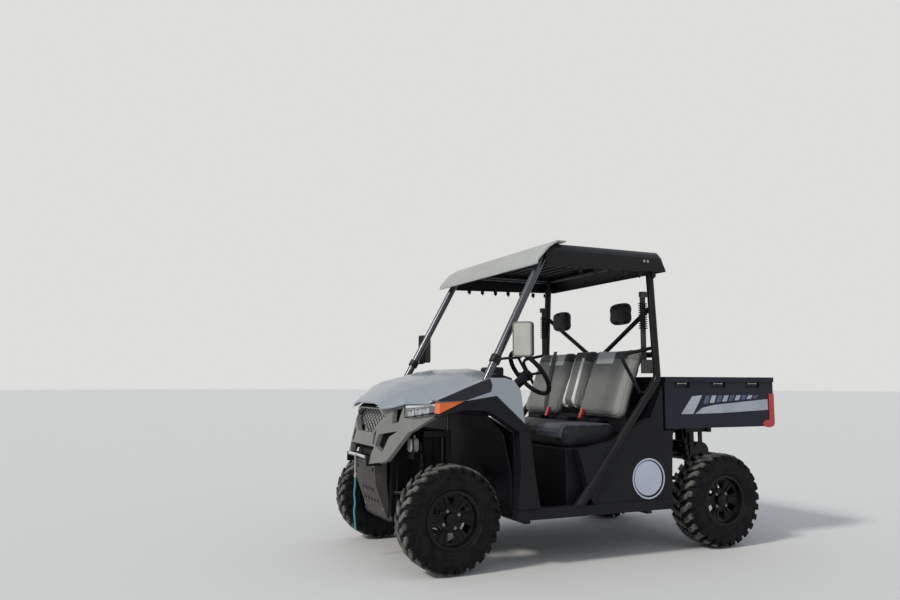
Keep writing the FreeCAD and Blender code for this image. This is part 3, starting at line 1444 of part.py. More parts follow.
def bed_struts():
    """Lift cylinders with their rods, from the frame to the bed."""
    foot = Vector(size("rear_tower_front_x") - size("frame_tube") / 2, size("strut_y"),
                  size("strut_foot_z"))
    eye = Vector(size("strut_eye_x"), size("strut_y"), size("strut_eye_z"))
    along = (eye - foot).normalize()
    half = Vector(0, size("strut_eye_width") / 2, 0)
    pin = size("strut_pin_radius") + size("running_gap")
    body = rod(foot + along * (pin + 3), eye - along * 18, size("strut_radius"))
    ring = rod(foot - half, foot + half, pin + 8)
    rod_radius = size("strut_rod_radius")
    bore = rod(foot + along * 24, eye, rod_radius + size("running_gap"))
    cylinder = body.fuse(ring).cut([bore, rod(foot - half * 2, foot + half * 2, pin)])
    piston = rod(foot + along * 26, eye, rod_radius)
    ball = rod(eye - half, eye + half, 14)
    hole = rod(eye - half * 2, eye + half * 2, size("strut_pin_radius"))
    stem = piston.fuse(ball).cut(hole)
    node("strut_cylinders", made("strut_cylinders", side_pair(cylinder)))
    node("strut_rods", made("strut_rods", side_pair(stem)))
    print("strut closed length %.1f" % (eye - foot).Length)


def mirrors():
    """Side mirrors on arms clamped round the front pillars."""
    heading = math.radians(size("mirror_heading"))
    face = Vector(math.cos(heading), math.sin(heading), 0)
    wide = Vector(-math.sin(heading), math.cos(heading), 0)
    tall = Vector(0, 0, size("mirror_height"))
    centre = Vector(size("mirror_x"), size("mirror_y"), size("mirror_z"))
    corner = centre - wide * (size("mirror_width") / 2) - tall / 2
    far = corner + wide * size("mirror_width")
    case = Part.Face(Part.makePolygon([corner, far, far + tall, corner + tall, corner])).extrude(
        face * -size("mirror_depth"))
    low = front_pillar_spot(size("mirror_clamp_z") - 18)
    high = front_pillar_spot(size("mirror_clamp_z") + 18)
    clamp = rod(low, high, size("cage_radius") + 8)
    arm = rod(front_pillar_spot(size("mirror_clamp_z")),
              centre - tall / 2 + Vector(-20, -20, 20), 9)
    below = front_pillar_spot(size("mirror_clamp_z") - 100)
    above = front_pillar_spot(size("mirror_clamp_z") + 100)
    whole = fused([case, arm, clamp]).cut(rod(below, above, size("cage_radius") + seat_gap))
    node("mirrors", made("mirrors", side_pair(whole)))


def belts():
    """Seat belts: webbing in front of the rear pillars between a guide and a reel."""
    guide_z = size("brace_top_z") + 70
    reel_z = size("seat_cross_z") - 80
    face_x = size("rear_pillar_x") + size("cage_radius") + seat_gap
    web_y = size("seat_half_width") + 3 * seat_gap
    wide = size("belt_width")
    web = Part.makeBox(wide, size("belt_thickness"), guide_z - reel_z,
                       Vector(face_x + 3, web_y, reel_z))
    guide = Part.makeBox(wide + 6, rear_pillar_spot(guide_z).y - web_y + 4, 36,
                         Vector(face_x, web_y - 4, guide_z - 18))
    reel = Part.makeBox(wide + 6, rear_pillar_spot(reel_z).y - web_y, 90,
                        Vector(face_x, web_y, reel_z - 45))
    node("seat_belts", made("seat_belts", side_pair(fused([web, guide, reel]))))


chassis()
belly()
guard()
for wheel in WHEELS:
    tyre(*wheel)
    rim(*wheel)
running_gear()
rack()
steering_wheel()
cab_floor()
footwell()
dash()
seats()
cage()
roof()
hood()
fenders()
nose()
winch()
side_panels()
power()
cargo_bed()
tailgate()
tail_lamps()
bed_struts()
mirrors()
belts()
doc.recompute()

for thing in doc.Objects:
    if "Invalid" in thing.State or "Error" in thing.State:
        raise RuntimeError("%s failed: %s" % (thing.Name, thing.State))

os.makedirs("parts", exist_ok=True)
for label, thing in node_objects:
    if thing.Shape.isNull() or not thing.Shape.isValid():
        raise RuntimeError(label + " has no valid shape")
    thing.Shape.exportStep("parts/%s.step" % label)
    bounds = thing.Shape.BoundBox
    print("%-18s solids %d  x %.0f %.0f  y %.0f %.0f  z %.0f %.0f" % (
        label, len(thing.Shape.Solids), bounds.XMin, bounds.XMax, bounds.YMin, bounds.YMax,
        bounds.ZMin, bounds.ZMax))
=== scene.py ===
import json
import math

import bmesh
import bpy
from mathutils import Matrix, Vector


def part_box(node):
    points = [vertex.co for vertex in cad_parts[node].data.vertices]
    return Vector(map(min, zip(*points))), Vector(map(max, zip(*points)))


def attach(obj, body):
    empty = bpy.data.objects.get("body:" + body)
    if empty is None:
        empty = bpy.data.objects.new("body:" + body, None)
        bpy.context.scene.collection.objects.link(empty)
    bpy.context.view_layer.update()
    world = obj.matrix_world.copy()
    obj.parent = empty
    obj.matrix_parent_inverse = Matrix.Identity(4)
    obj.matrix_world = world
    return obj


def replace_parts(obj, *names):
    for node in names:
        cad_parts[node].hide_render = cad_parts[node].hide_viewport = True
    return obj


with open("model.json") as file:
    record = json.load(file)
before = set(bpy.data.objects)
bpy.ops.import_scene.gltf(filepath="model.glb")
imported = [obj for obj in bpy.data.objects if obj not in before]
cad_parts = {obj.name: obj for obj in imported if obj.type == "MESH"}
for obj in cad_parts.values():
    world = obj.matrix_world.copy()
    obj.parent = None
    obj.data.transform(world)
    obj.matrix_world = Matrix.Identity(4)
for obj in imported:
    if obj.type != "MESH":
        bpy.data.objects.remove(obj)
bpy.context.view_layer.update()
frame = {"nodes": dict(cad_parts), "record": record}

# Side by side utility vehicle. +X points forwards, +Y to the left, +Z up; lengths below are in mm.

MM = 0.001
bodies = frame["record"]["behaviour"]["bodies"]
body_of = {node: body for body, nodes in bodies.items() for node in nodes}
SIDES = (("left", 1), ("right", -1))


def placed(name, data):
    """An object of the scene that holds this data."""
    thing = bpy.data.objects.new(name, data)
    bpy.context.scene.collection.objects.link(thing)
    return thing


# Camera: the photographer's place in metres, heading and pitch in degrees

EYE = Vector((2.961, 4.774, 1.105))
HEADING = math.radians(-114.51)
PITCH = math.radians(6.18)
ROLL = math.radians(0.12)
FOCAL_PIXELS = 764.5
IMAGE_WIDTH = 900
SENSOR = 36.0


def make_camera():
    """The photograph's point of view."""
    data = bpy.data.cameras.new("camera")
    data.sensor_width = SENSOR
    data.lens = FOCAL_PIXELS / IMAGE_WIDTH * SENSOR
    data.clip_end = 300
    camera = placed("camera", data)
    look = Vector((math.cos(PITCH) * math.cos(HEADING), math.cos(PITCH) * math.sin(HEADING),
                   math.sin(PITCH)))
    camera.rotation_mode = "QUATERNION"
    camera.rotation_quaternion = (look.to_track_quat("-Z", "Y")
                                  @ Matrix.Rotation(ROLL, 3, "Z").to_quaternion())
    camera.location = EYE
    bpy.context.scene.camera = camera


make_camera()

# Materials


def linear(code):
    """An sRGB hex colour as the linear values that shaders take."""
    parts = [int(code[k:k + 2], 16) / 255 for k in (1, 3, 5)]
    return tuple(p / 12.92 if p <= 0.04045 else ((p + 0.055) / 1.055) ** 2.4 for p in parts) + (1,)


def add(tree, kind, inputs=(), **settings):
    """The outputs of a new node; its inputs, in order or by name, are values or sockets to link."""
    made = tree.nodes.new("ShaderNode" + kind)
    for name, value in settings.items():
        setattr(made, name, value)
    for name, value in inputs.items() if isinstance(inputs, dict) else enumerate(inputs):
        if isinstance(value, bpy.types.NodeSocket):
            tree.links.new(value, made.inputs[name])
        else:
            made.inputs[name].default_value = value
    return made.outputs


# settings and numbers of sockets that many patterns share
SMOOTH = {"interpolation_type": "SMOOTHSTEP"}
MULTIPLY = {"operation": "MULTIPLY"}
COLOURS = {"data_type": "RGBA"}
SHARE, FIRST, SECOND, MIXED = 0, 6, 7, 2
# half the blur between two painted colours
SOFT_EDGE = 1.2


def within(tree, value, low, high):
    """1 between two bounds in mm and 0 outside them, with soft edges."""
    over, under = (add(tree, "MapRange", {
        "Value": value, "From Min": (bound - SOFT_EDGE) * MM, "From Max": (bound + SOFT_EDGE) * MM,
        "To Min": start, "To Max": end}, **SMOOTH)[0]
        for bound, start, end in ((low, 0.0, 1.0), (high, 1.0, 0.0)))
    return add(tree, "Math", (over, under), **MULTIPLY)[0]


def surface(name, base, second, roughness, metallic=0.0, coat=0.0, sheen=0.0, cloud_mm=250,
            grain_mm=2.5, relief=0.15, spread=0.06, shine=0.5, paint=None, height=None):
    """Two near colours in soft clouds, with a fine grain in gloss and relief.

    paint(tree, place, colour) may lay other colours over it, height(tree, place) another relief."""
    material = bpy.data.materials.new(name)
    material.use_nodes = True
    tree = material.node_tree
    shader = tree.nodes["Principled BSDF"]
    place = add(tree, "TexCoord")["Object"]
    clouds = add(tree, "TexNoise", {"Vector": place, "Scale": 1000 / cloud_mm, "Detail": 5.0,
                                    "Roughness": 0.6})["Fac"]
    grain = add(tree, "TexNoise", {"Vector": place, "Scale": 1000 / grain_mm, "Detail": 3.0})["Fac"]
    patches = add(tree, "MapRange", {"Value": clouds, "From Min": 0.35, "From Max": 0.65}, **SMOOTH)
    colour = add(tree, "Mix", {SHARE: patches[0], FIRST: linear(base), SECOND: linear(second)},
                 **COLOURS)[MIXED]
    if paint:
        colour = paint(tree, place, colour)
    tree.links.new(colour, shader.inputs["Base Color"])
    gloss = add(tree, "MapRange", {
        "Value": clouds, "From Min": 0.3, "From Max": 0.7,
        "To Min": max(0.02, roughness - spread), "To Max": min(1.0, roughness + spread)})
    tree.links.new(gloss[0], shader.inputs["Roughness"])
    bump = add(tree, "Bump", {"Height": grain, "Strength": relief, "Distance": 0.3 * grain_mm * MM})
    if height:
        bump = add(tree, "Bump", {"Height": height(tree, place), "Strength": 0.8, "Distance": MM,
                                  "Normal": bump[0]})
    tree.links.new(bump[0], shader.inputs["Normal"])
    for socket, value in (("Metallic", metallic), ("Specular IOR Level", shine),
                          ("Coat Weight", coat), ("Coat Roughness", 0.12), ("Sheen Weight", sheen)):
        shader.inputs[socket].default_value = value
    return material


AXLES = {"front": Vector((1.065, 0, 0.315)), "rear": Vector((-0.935, 0, 0.315))}
# radii of the tread between which its dust and the painted highlight on the lug tips grow
TIP_DUST_AND_LIGHT_FROM = 293
TIP_DUST_AND_LIGHT_FULL = 311
# patches of some 45 mm
VEIL_SCALE = 22.0


def tyre_rubber(end):
    """Vulcanised rubber: black; pale road dust and painted highlight on the lug tips; a brown veil.
    """
    def dust_and_lit_tips(tree, place, colour):
        spot = add(tree, "Mapping", {"Vector": place, "Location": [-c for c in AXLES[end]]})
        spot = add(tree, "SeparateXYZ", {"Vector": spot[0]})
        squares = [add(tree, "Math", (spot[k], 2.0), operation="POWER")[0] for k in (0, 2)]
        squared = add(tree, "Math", squares, operation="ADD")[0]
        radius = add(tree, "Math", (squared,), operation="SQRT")[0]
        veil = add(tree, "TexNoise", {"Vector": place, "Scale": VEIL_SCALE, "Detail": 6.0})["Fac"]
        patchy = add(tree, "MapRange", {"Value": veil, "From Min": 0.36, "From Max": 0.62},
                     **SMOOTH)[0]
        # the lug tips turn pale by radius: partly road dust, partly painted highlight that leaves
        # the grooves dark as painted shade
        tread = add(tree, "MapRange", {"Value": radius, "From Min": TIP_DUST_AND_LIGHT_FROM * MM,
                                       "From Max": TIP_DUST_AND_LIGHT_FULL * MM}, **SMOOTH)[0]
        dust = add(tree, "Math", (patchy, 0.45, 0.2), operation="MULTIPLY_ADD")[0]
        tips = add(tree, "Math", (tread, dust), **MULTIPLY)[0]
        side = add(tree, "Math", (patchy, 0.05), **MULTIPLY)[0]
        for share, code in ((side, "#6d665e"), (tips, "#8b8b86")):
            colour = add(tree, "Mix", {SHARE: share, FIRST: colour, SECOND: linear(code)},
                         **COLOURS)[MIXED]
        return colour
    return surface("tyre_rubber_" + end, "#0c0d10", "#121316", 0.74, spread=0.1, shine=0.15,
                   cloud_mm=60, grain_mm=1.5, relief=0.3, paint=dust_and_lit_tips)


# real flakes are finer; these are drawn at 2.2 mm, as coarse as a pixel can show
FLAKE_SCALE = 450.0


def metal_flakes(tree, place, colour):
    """Aluminium flakes that glint in the lacquer."""
    flakes = add(tree, "TexVoronoi", {"Vector": place, "Scale": FLAKE_SCALE})["Distance"]
    bright = add(tree, "MapRange", {"Value": flakes, "From Min": 0.25, "From Max": 0.05}, **SMOOTH)
    share = add(tree, "Math", (bright[0], 0.25), **MULTIPLY)[0]
    return add(tree, "Mix", {SHARE: share, FIRST: colour, SECOND: linear("#c3c9d0")},
               **COLOURS)[MIXED]


# heights of the skirt's upper edge and of the ceiling, and the ceiling's half width
SKIRT_Z = 1942
CEILING_Z = 1972.5
CEILING_HALF = 693.6


def shaded_below(tree, place, colour):
    """Painted shade: the roof's skirt and ceiling are drawn darker than its top and its rim."""
    parts = add(tree, "SeparateXYZ", {"Vector": place})
    skirt = add(tree, "MapRange", {"Value": parts[2], "From Min": (SKIRT_Z - 1) * MM,
                                   "From Max": (SKIRT_Z + 1) * MM, "To Min": 1.0, "To Max": 0.0},
                **SMOOTH)[0]
    below = add(tree, "Math", (parts[2], CEILING_Z * MM), operation="LESS_THAN")[0]
    side = add(tree, "Math", (parts[1],), operation="ABSOLUTE")[0]
    inside = add(tree, "Math", (side, CEILING_HALF * MM), operation="LESS_THAN")[0]
    ceiling = add(tree, "Math", (below, inside), **MULTIPLY)[0]
    share = add(tree, "Math", (skirt, ceiling), operation="MAXIMUM")[0]
    # the near-black colour of the skirt and ceiling is painted shade
    return add(tree, "Mix", {SHARE: share, FIRST: colour, SECOND: linear("#131417")},
               **COLOURS)[MIXED]


# injection-moulded body panels in silver metallic lacquer: soft gloss, blue-grey in the shade
silver_lacquer = surface("silver_lacquer", "#9ea6b0", "#949ca6", 0.32, metallic=0.6, coat=0.35,
                         cloud_mm=500, grain_mm=1.2, relief=0.03, spread=0.05, paint=metal_flakes)
# moulded ABS in matte warm grey: even, without sparkle
grey_abs = surface("grey_abs", "#7f7f7c", "#767673", 0.5, cloud_mm=300, grain_mm=1.6, relief=0.12)
# the visor's matte silver-grey plastic
visor_grey = surface("visor_grey", "#b7b9b6", "#adafac", 0.48, metallic=0.2, cloud_mm=350,
                     grain_mm=1.6, relief=0.1)
# grained polypropylene: near black with a faint blue, leathery grain that scatters the light
black_polypropylene = surface("black_polypropylene", "#15161a", "#1c1d22", 0.58, shine=0.2,
                              cloud_mm=400, grain_mm=2.4, relief=0.35)
# rotation-moulded polyethylene of the roof: dark grey, slightly waxy
roof_polyethylene = surface("roof_polyethylene", "#25282f", "#2c2f36", 0.45, shine=0.25,
                            cloud_mm=350, grain_mm=3.0, relief=0.2, paint=shaded_below)
# load bed panels: black with a blue cast, smoother than the lower trim
bed_polypropylene = surface("bed_polypropylene", "#1d212b", "#242834", 0.46, shine=0.22,
                            cloud_mm=350, grain_mm=2.0, relief=0.2)
# black powder coat on steel tube: orange peel of some millimetres
black_powder_coat = surface("black_powder_coat", "#0e0f12", "#141518", 0.4, shine=0.25,
                            cloud_mm=200, grain_mm=4.0, relief=0.12)
# the front pillars' satin black powder coat, drawn silver-grey as painted light of the sun on them
sunlit_pillar_coat = surface("sunlit_pillar_coat", "#54575c", "#4c4f54", 0.27, metallic=0.75,
                           coat=0.2, cloud_mm=250, grain_mm=3.5, relief=0.03)
# brown-grey coat of the guard plate, dusty from the road
guard_coat = surface("guard_coat", "#3f3c39", "#4c4844", 0.52, metallic=0.3, shine=0.3,
                     cloud_mm=80, grain_mm=2.2, relief=0.25, spread=0.12)
# satin black lacquer on cast aluminium wheels
satin_black = surface("satin_black", "#0b0c0e", "#101114", 0.34, coat=0.05, shine=0.2,
                      cloud_mm=120, grain_mm=3.0, relief=0.06)
# bright zinc plating of bolts and rods: small crystals, slightly yellow
bright_zinc = surface("bright_zinc", "#b9b8b2", "#a5a49f", 0.32, metallic=1.0, cloud_mm=12,
                      grain_mm=1.2, relief=0.1, spread=0.1)
# polished chrome of the lamp reflectors
chrome = surface("chrome", "#e3e5e7", "#d7dadd", 0.08, metallic=1.0, cloud_mm=60, grain_mm=4.0,
                 relief=0.02, spread=0.03)
# sand-cast iron of hubs and housings: dark, coarse skin
cast_iron = surface("cast_iron", "#1a1b1d", "#232426", 0.6, metallic=0.3, shine=0.3, cloud_mm=50,
                    grain_mm=1.8, relief=0.6)
# cast aluminium of the engine and gear cases
cast_aluminium = surface("cast_aluminium", "#6a6c6e", "#5b5d60", 0.5, metallic=0.8, cloud_mm=70,
                         grain_mm=1.6, relief=0.45)
# exhaust steel, dulled by heat to straw and brown
heated_steel = surface("heated_steel", "#2b2928", "#373330", 0.42, metallic=0.9, cloud_mm=90,
                       grain_mm=1.4, relief=0.15, spread=0.12)
# moulded rubber of boots, grommets and the steering wheel's grip
soft_rubber = surface("soft_rubber", "#101114", "#16171a", 0.68, shine=0.2, cloud_mm=80,
                      grain_mm=1.6, relief=0.35)
# white vinyl film of plain stickers
white_vinyl = surface("white_vinyl", "#c6cadd", "#bfc4d8", 0.36, coat=0.2, cloud_mm=200,
                      grain_mm=3.0, relief=0.03)
# black vinyl film, glossier than the panels
black_vinyl = surface("black_vinyl", "#1b1e25", "#22252c", 0.36, coat=0.1, shine=0.3,
                      cloud_mm=200, grain_mm=3.0, relief=0.04)
# silver and slate vinyl film of the stripes on the bed
silver_vinyl = surface("silver_vinyl", "#a9afbb", "#b7bcc6", 0.34, metallic=0.3, cloud_mm=180,
                       grain_mm=3.0, relief=0.03)
slate_vinyl = surface("slate_vinyl", "#4a5470", "#56607c", 0.36, metallic=0.2, cloud_mm=180,
                      grain_mm=3.0, relief=0.03)
# red vinyl film, faded by the sun
faded_red_vinyl = surface("faded_red_vinyl", "#a8434a", "#b4555a", 0.36, coat=0.2, cloud_mm=60,
                          grain_mm=3.0, relief=0.03)
# blow-moulded polyethylene of the coolant bottle: milky grey
bottle_polyethylene = surface("bottle_polyethylene", "#a3a49f", "#989994", 0.42, cloud_mm=60,
                              grain_mm=2.0, relief=0.08)
# silvered glass of the mirrors, with a pale reflection
mirror_glass = surface("mirror_glass", "#c9cac2", "#bfc0b8", 0.12, metallic=0.85, cloud_mm=120,
                       grain_mm=6.0, relief=0.01, spread=0.03)

# a wave texture of scale 1 repeats every 314 mm
WAVE_MM = 1000 * math.tau / 20
# the webbing's real ribs are finer; these are drawn as coarse as they need to show
WEBBING_RIBS_MM = 18.85


def woven(name, base, second):
    """Woven polyester: ribs across the strap, lit unevenly."""
    def ribs(tree, place):
        return add(tree, "TexWave", {"Vector": place, "Scale": WAVE_MM / WEBBING_RIBS_MM,
                                     "Distortion": 0.6}, bands_direction="Z")["Fac"]
    return surface(name, base, second, 0.78, sheen=0.3, cloud_mm=25, grain_mm=1.0, relief=0.4,
                   height=ribs)


belt_webbing = woven("belt_webbing", "#2c2b2a", "#3a3836")
teal_webbing = woven("teal_webbing", "#3f8f96", "#4fa3a8")


def lens(name, colour, roughness, through, ribs_mm=None):
    """Clear or tinted acrylic of a lamp, with fluting inside when ribs_mm is given."""
    def fluting(tree, place):
        return add(tree, "TexWave", {"Vector": place, "Scale": WAVE_MM / ribs_mm},
                   bands_direction="DIAGONAL")["Fac"]
    material = surface(name, colour, colour, roughness, coat=0.6, cloud_mm=100, grain_mm=5.0,
                       relief=0.02, spread=0.02, height=fluting if ribs_mm else None)
    shader = material.node_tree.nodes["Principled BSDF"]
    shader.inputs["Alpha"].default_value = 1 - through
    shader.inputs["IOR"].default_value = 1.49
    return material


clear_acrylic = lens("clear_acrylic", "#dfe3e6", 0.03, 0.86)
amber_acrylic = lens("amber_acrylic", "#ee6a1e", 0.16, 0.0, 56.55)
red_acrylic = lens("red_acrylic", "#b81f22", 0.18, 0.0, 50.27)
white_acrylic = lens("white_acrylic", "#eef1f4", 0.25, 0.0)

PEBBLE_MM = 3.2


def leathery(name, base, second, paint=None):
    """Vinyl-coated fabric: pebbled grain of two to three millimetres, soft highlights."""
    def pebbles(tree, place):
        return add(tree, "TexVoronoi", {"Vector": place, "Scale": 1000 / PEBBLE_MM})["Distance"]
    return surface(name, base, second, 0.55, sheen=0.04, cloud_mm=220, grain_mm=1.5, relief=0.25,
                   spread=0.07, shine=0.3, paint=paint, height=pebbles)


# Tools for meshes

# degrees up to which faces shade as one, and from which an edge is rounded
SMOOTH_UP_TO = 35
CORNER_FROM = 32


def whole(form):
    """All points, edges and faces of a form."""
    return form.verts[:] + form.edges[:] + form.faces[:]


def points(parts):
    """The points among the parts that an operator made."""
    return [part for part in parts if isinstance(part, bmesh.types.BMVert)]


def edges_at(verts):
    """The edges that meet these points."""
    return list({edge for vert in verts for edge in vert.link_edges})


def faces_at(verts):
    """The faces that meet these points."""
    return list({face for vert in verts for face in vert.link_faces})


def bevelled(form, edges, radius, segments):
    """Round these edges of a form by a radius in mm."""
    bmesh.ops.bevel(form, geom=edges, offset=radius * MM, segments=segments, profile=0.5,
                    affect="EDGES", offset_type="OFFSET", material=-1)


def edges_along(form, axis):
    """The edges that run along one axis."""
    return [edge for edge in form.edges
            if abs((edge.verts[1].co - edge.verts[0].co).normalized()[axis]) > 0.9]


def settled(name, form, finish, body, smooth_to=SMOOTH_UP_TO):
    """A piece of this form, shaded smooth up to an angle, riding on its body."""
    for face in form.faces:
        face.smooth = True
    for edge in form.edges:
        edge.smooth = edge.calc_face_angle(0) < math.radians(smooth_to)
    mesh = bpy.data.meshes.new(name)
    form.to_mesh(mesh)
    form.free()
    mesh.materials.append(finish)
    piece = placed(name, mesh)
    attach(piece, body)
    return piece


def rounded(piece, width, segments=2, angle=CORNER_FROM):
    """Round a piece's sharp edges."""
    bevel = piece.modifiers.new("rounded", "BEVEL")
    bevel.width = width * MM
    bevel.segments = segments
    bevel.limit_method = "ANGLE"
    bevel.angle_limit = math.radians(angle)
    bevel.harden_normals = True


def copy_of(node):
    """The construction piece's form with its points joined and its flat faces whole."""
    form = bmesh.new()
    form.from_mesh(frame["nodes"][node].data)
    bmesh.ops.remove_doubles(form, verts=form.verts, dist=0.02 * MM)
    bmesh.ops.dissolve_limit(form, angle_limit=math.radians(0.4), verts=form.verts,
                             edges=form.edges)
    return form


def dressed(node, finish, edge):
    """A construction piece with rounded edges and smooth curves in place of its plain one."""
    piece = settled(node + "_dressed", copy_of(node), finish, body_of[node], CORNER_FROM)
    if edge:
        rounded(piece, edge)
    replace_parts(piece, node)


def block(form, low, high):
    """A block between two corners in mm."""
    size = [(b - a) * MM for a, b in zip(low, high)]
    centre = [(a + b) / 2 * MM for a, b in zip(low, high)]
    bmesh.ops.create_cube(form, size=1, matrix=Matrix.Translation(centre)
                          @ Matrix.Diagonal((*size, 1)))


def blocks(pairs):
    """A new form of blocks, each between a pair of corners in mm."""
    form = bmesh.new()
    for low, high in pairs:
        block(form, low, high)
    return form


def facing(way):
    """The matrix that turns +Z to a direction."""
    return way.to_track_quat("Z", "Y").to_matrix().to_4x4()


def bar(form, start, end, radius, segments=16, tip=None):
    """A round bar, or a taper, between two points in mm."""
    first, last = Vector(start) * MM, Vector(end) * MM
    along = last - first
    bmesh.ops.create_cone(form, cap_ends=True, segments=segments, radius1=radius * MM,
                          radius2=(radius if tip is None else tip) * MM, depth=along.length,
                          matrix=Matrix.Translation((first + last) / 2) @ facing(along))


def turned(form, profile, centre, along, steps=32):
    """A closed profile of (radius, place along) in mm, turned about an axis."""
    axis = Vector(along).normalized()
    out = axis.orthogonal().normalized()
    middle = Vector(centre) * MM
    verts = [form.verts.new(middle + out * radius * MM + axis * place * MM)
             for radius, place in profile]
    edges = [form.edges.new(pair) for pair in zip(verts, verts[1:] + verts[:1])]
    bmesh.ops.spin(form, geom=verts + edges, cent=middle, axis=axis, angle=math.tau,
                   steps=steps, use_merge=True)


def panel(form, corners, thickness):
    """A flat plate: corners in mm, given a thickness along its normal; gives its far points."""
    face = form.faces.new([form.verts.new(Vector(corner) * MM) for corner in corners])
    face.normal_update()
    away = face.normal * thickness * MM
    far = points(bmesh.ops.extrude_face_region(form, geom=[face])["geom"])
    bmesh.ops.translate(form, verts=far, vec=away)
    return far


def swept(form, chain, reach, wall):
    """A sheet: a chain of points in mm drawn along one reach, or one for each, given a wall."""
    reaches = reach if isinstance(reach, list) else [reach] * len(chain)
    verts = [form.verts.new(Vector(spot) * MM) for spot in chain]
    edges = [form.edges.new(pair) for pair in zip(verts, verts[1:])]
    far = points(bmesh.ops.extrude_edge_only(form, edges=edges)["geom"])
    for vert in far:
        near = min(range(len(verts)), key=lambda k: (verts[k].co - vert.co).length)
        vert.co = verts[near].co + Vector(reaches[near]) * MM
    faces = faces_at(far)
    bmesh.ops.recalc_face_normals(form, faces=faces)
    bmesh.ops.solidify(form, geom=faces, thickness=wall * MM)


def pushed_on(form, face, spots, closed=False):
    """Walls from a face to new corners in mm; the first face stays only to close the form."""
    made = bmesh.ops.extrude_face_region(form, geom=[face])["geom"]
    if not closed:
        bmesh.ops.delete(form, geom=[face], context="FACES_ONLY")
    fresh = [part for part in made if isinstance(part, bmesh.types.BMFace)][0]
    for vert, spot in zip(fresh.verts, spots):
        vert.co = spot * MM
    return fresh


def both_ways(form):
    """Add the mirror image across the middle plane."""
    copy = bmesh.ops.duplicate(form, geom=whole(form))["geom"]
    bmesh.ops.scale(form, verts=points(copy), vec=(1, -1, 1))
    faces = [part for part in copy if isinstance(part, bmesh.types.BMFace)]
    bmesh.ops.reverse_faces(form, faces=faces)
    return form


def outward(form):
    """Join what coincides and turn the faces outwards."""
    bmesh.ops.remove_doubles(form, verts=form.verts, dist=0.01 * MM)
    bmesh.ops.recalc_face_normals(form, faces=form.faces)
    return form


def bolt(form, head, along, radius=8, height=5):
    """A hexagon head with its washer."""
    axis = Vector(along).normalized()
    foot = Vector(head)
    seat = foot + axis * 1.6
    bar(form, foot, seat, radius * 1.35, 16)
    bar(form, seat, foot + axis * (1.6 + height), radius, 6)


def single(name, form, finish, edge=0, segments=2, body="chassis", smooth_to=SMOOTH_UP_TO,
           node=None):
    """A piece with its sharp edges rounded by so many mm, in place of a node if one is named."""
    piece = settled(name, outward(form), finish, body, smooth_to)
    if edge:
        rounded(piece, edge, segments)
    if node:
        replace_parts(piece, node)


def pair(name, form, *how, **more):
    """The same as single, with the mirror image on the other side."""
    single(name, both_ways(form), *how, **more)


def soft_block(low, high, corner, turn, along=0):
    """A block with rounded edges; the four along one axis have a larger radius, turn."""
    form = blocks([(low, high)])
    bevelled(form, edges_along(form, along), turn, 7)
    edges = [edge for edge in form.edges if edge.calc_face_angle(0) > math.radians(40)]
    bevelled(form, edges, corner, 4)
    return form


def round_line(name, spots, radius, around_steps, path_steps):
    """A round curve along a smooth path in mm."""
    curve = bpy.data.curves.new(name, "CURVE")
    curve.dimensions = "3D"
    curve.bevel_depth = radius * MM
    curve.bevel_resolution = around_steps
    curve.use_fill_caps = True
    line = curve.splines.new("NURBS")
    line.points.add(len(spots) - 1)
    for point, spot in zip(line.points, spots):
        point.co = (*(Vector(spot) * MM), 1)
    line.order_u = 3
    line.use_endpoint_u = True
    line.resolution_u = path_steps
    return placed(name, curve)


def as_drawn(thing):
    """The mesh of an object as its curve or its modifiers draw it."""
    graph = bpy.context.evaluated_depsgraph_get()
    return bpy.data.meshes.new_from_object(thing.evaluated_get(graph))


def bent_bar(name, spots, radius, finish):
    """A round bar or hose along a smooth path in mm."""
    drawn = round_line(name, spots, radius, 3, 6)
    form = bmesh.new()
    form.from_mesh(as_drawn(drawn))
    bpy.data.objects.remove(drawn)
    single(name, form, finish, smooth_to=60)


# The winch's strap, a limp cord of woven polyester

STRAP_TOP = (1449.3, 10, 499.7)
# place along x and y from its top, and drop below it
STRAP = [(0, 0, 0), (-1, 2, 45), (6, -3, 95), (-2, 3, 148), (5, -2, 203), (-1, 2, 262),
         (-8, 0, 322)]
STRAP_RADIUS = 6


def winch_strap():
    """Strap that hangs from the hook's ring to its bare end."""
    spots = [Vector(STRAP_TOP) + Vector((x, y, -drop)) for x, y, drop in STRAP]
    strap = round_line("pull_strap", spots, STRAP_RADIUS, 6, 8)
    strap.data.materials.append(teal_webbing)
    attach(strap, "chassis")
    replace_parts(strap, "winch_strap")


winch_strap()

# Construction pieces that keep their form: node, finish, radius of the edges

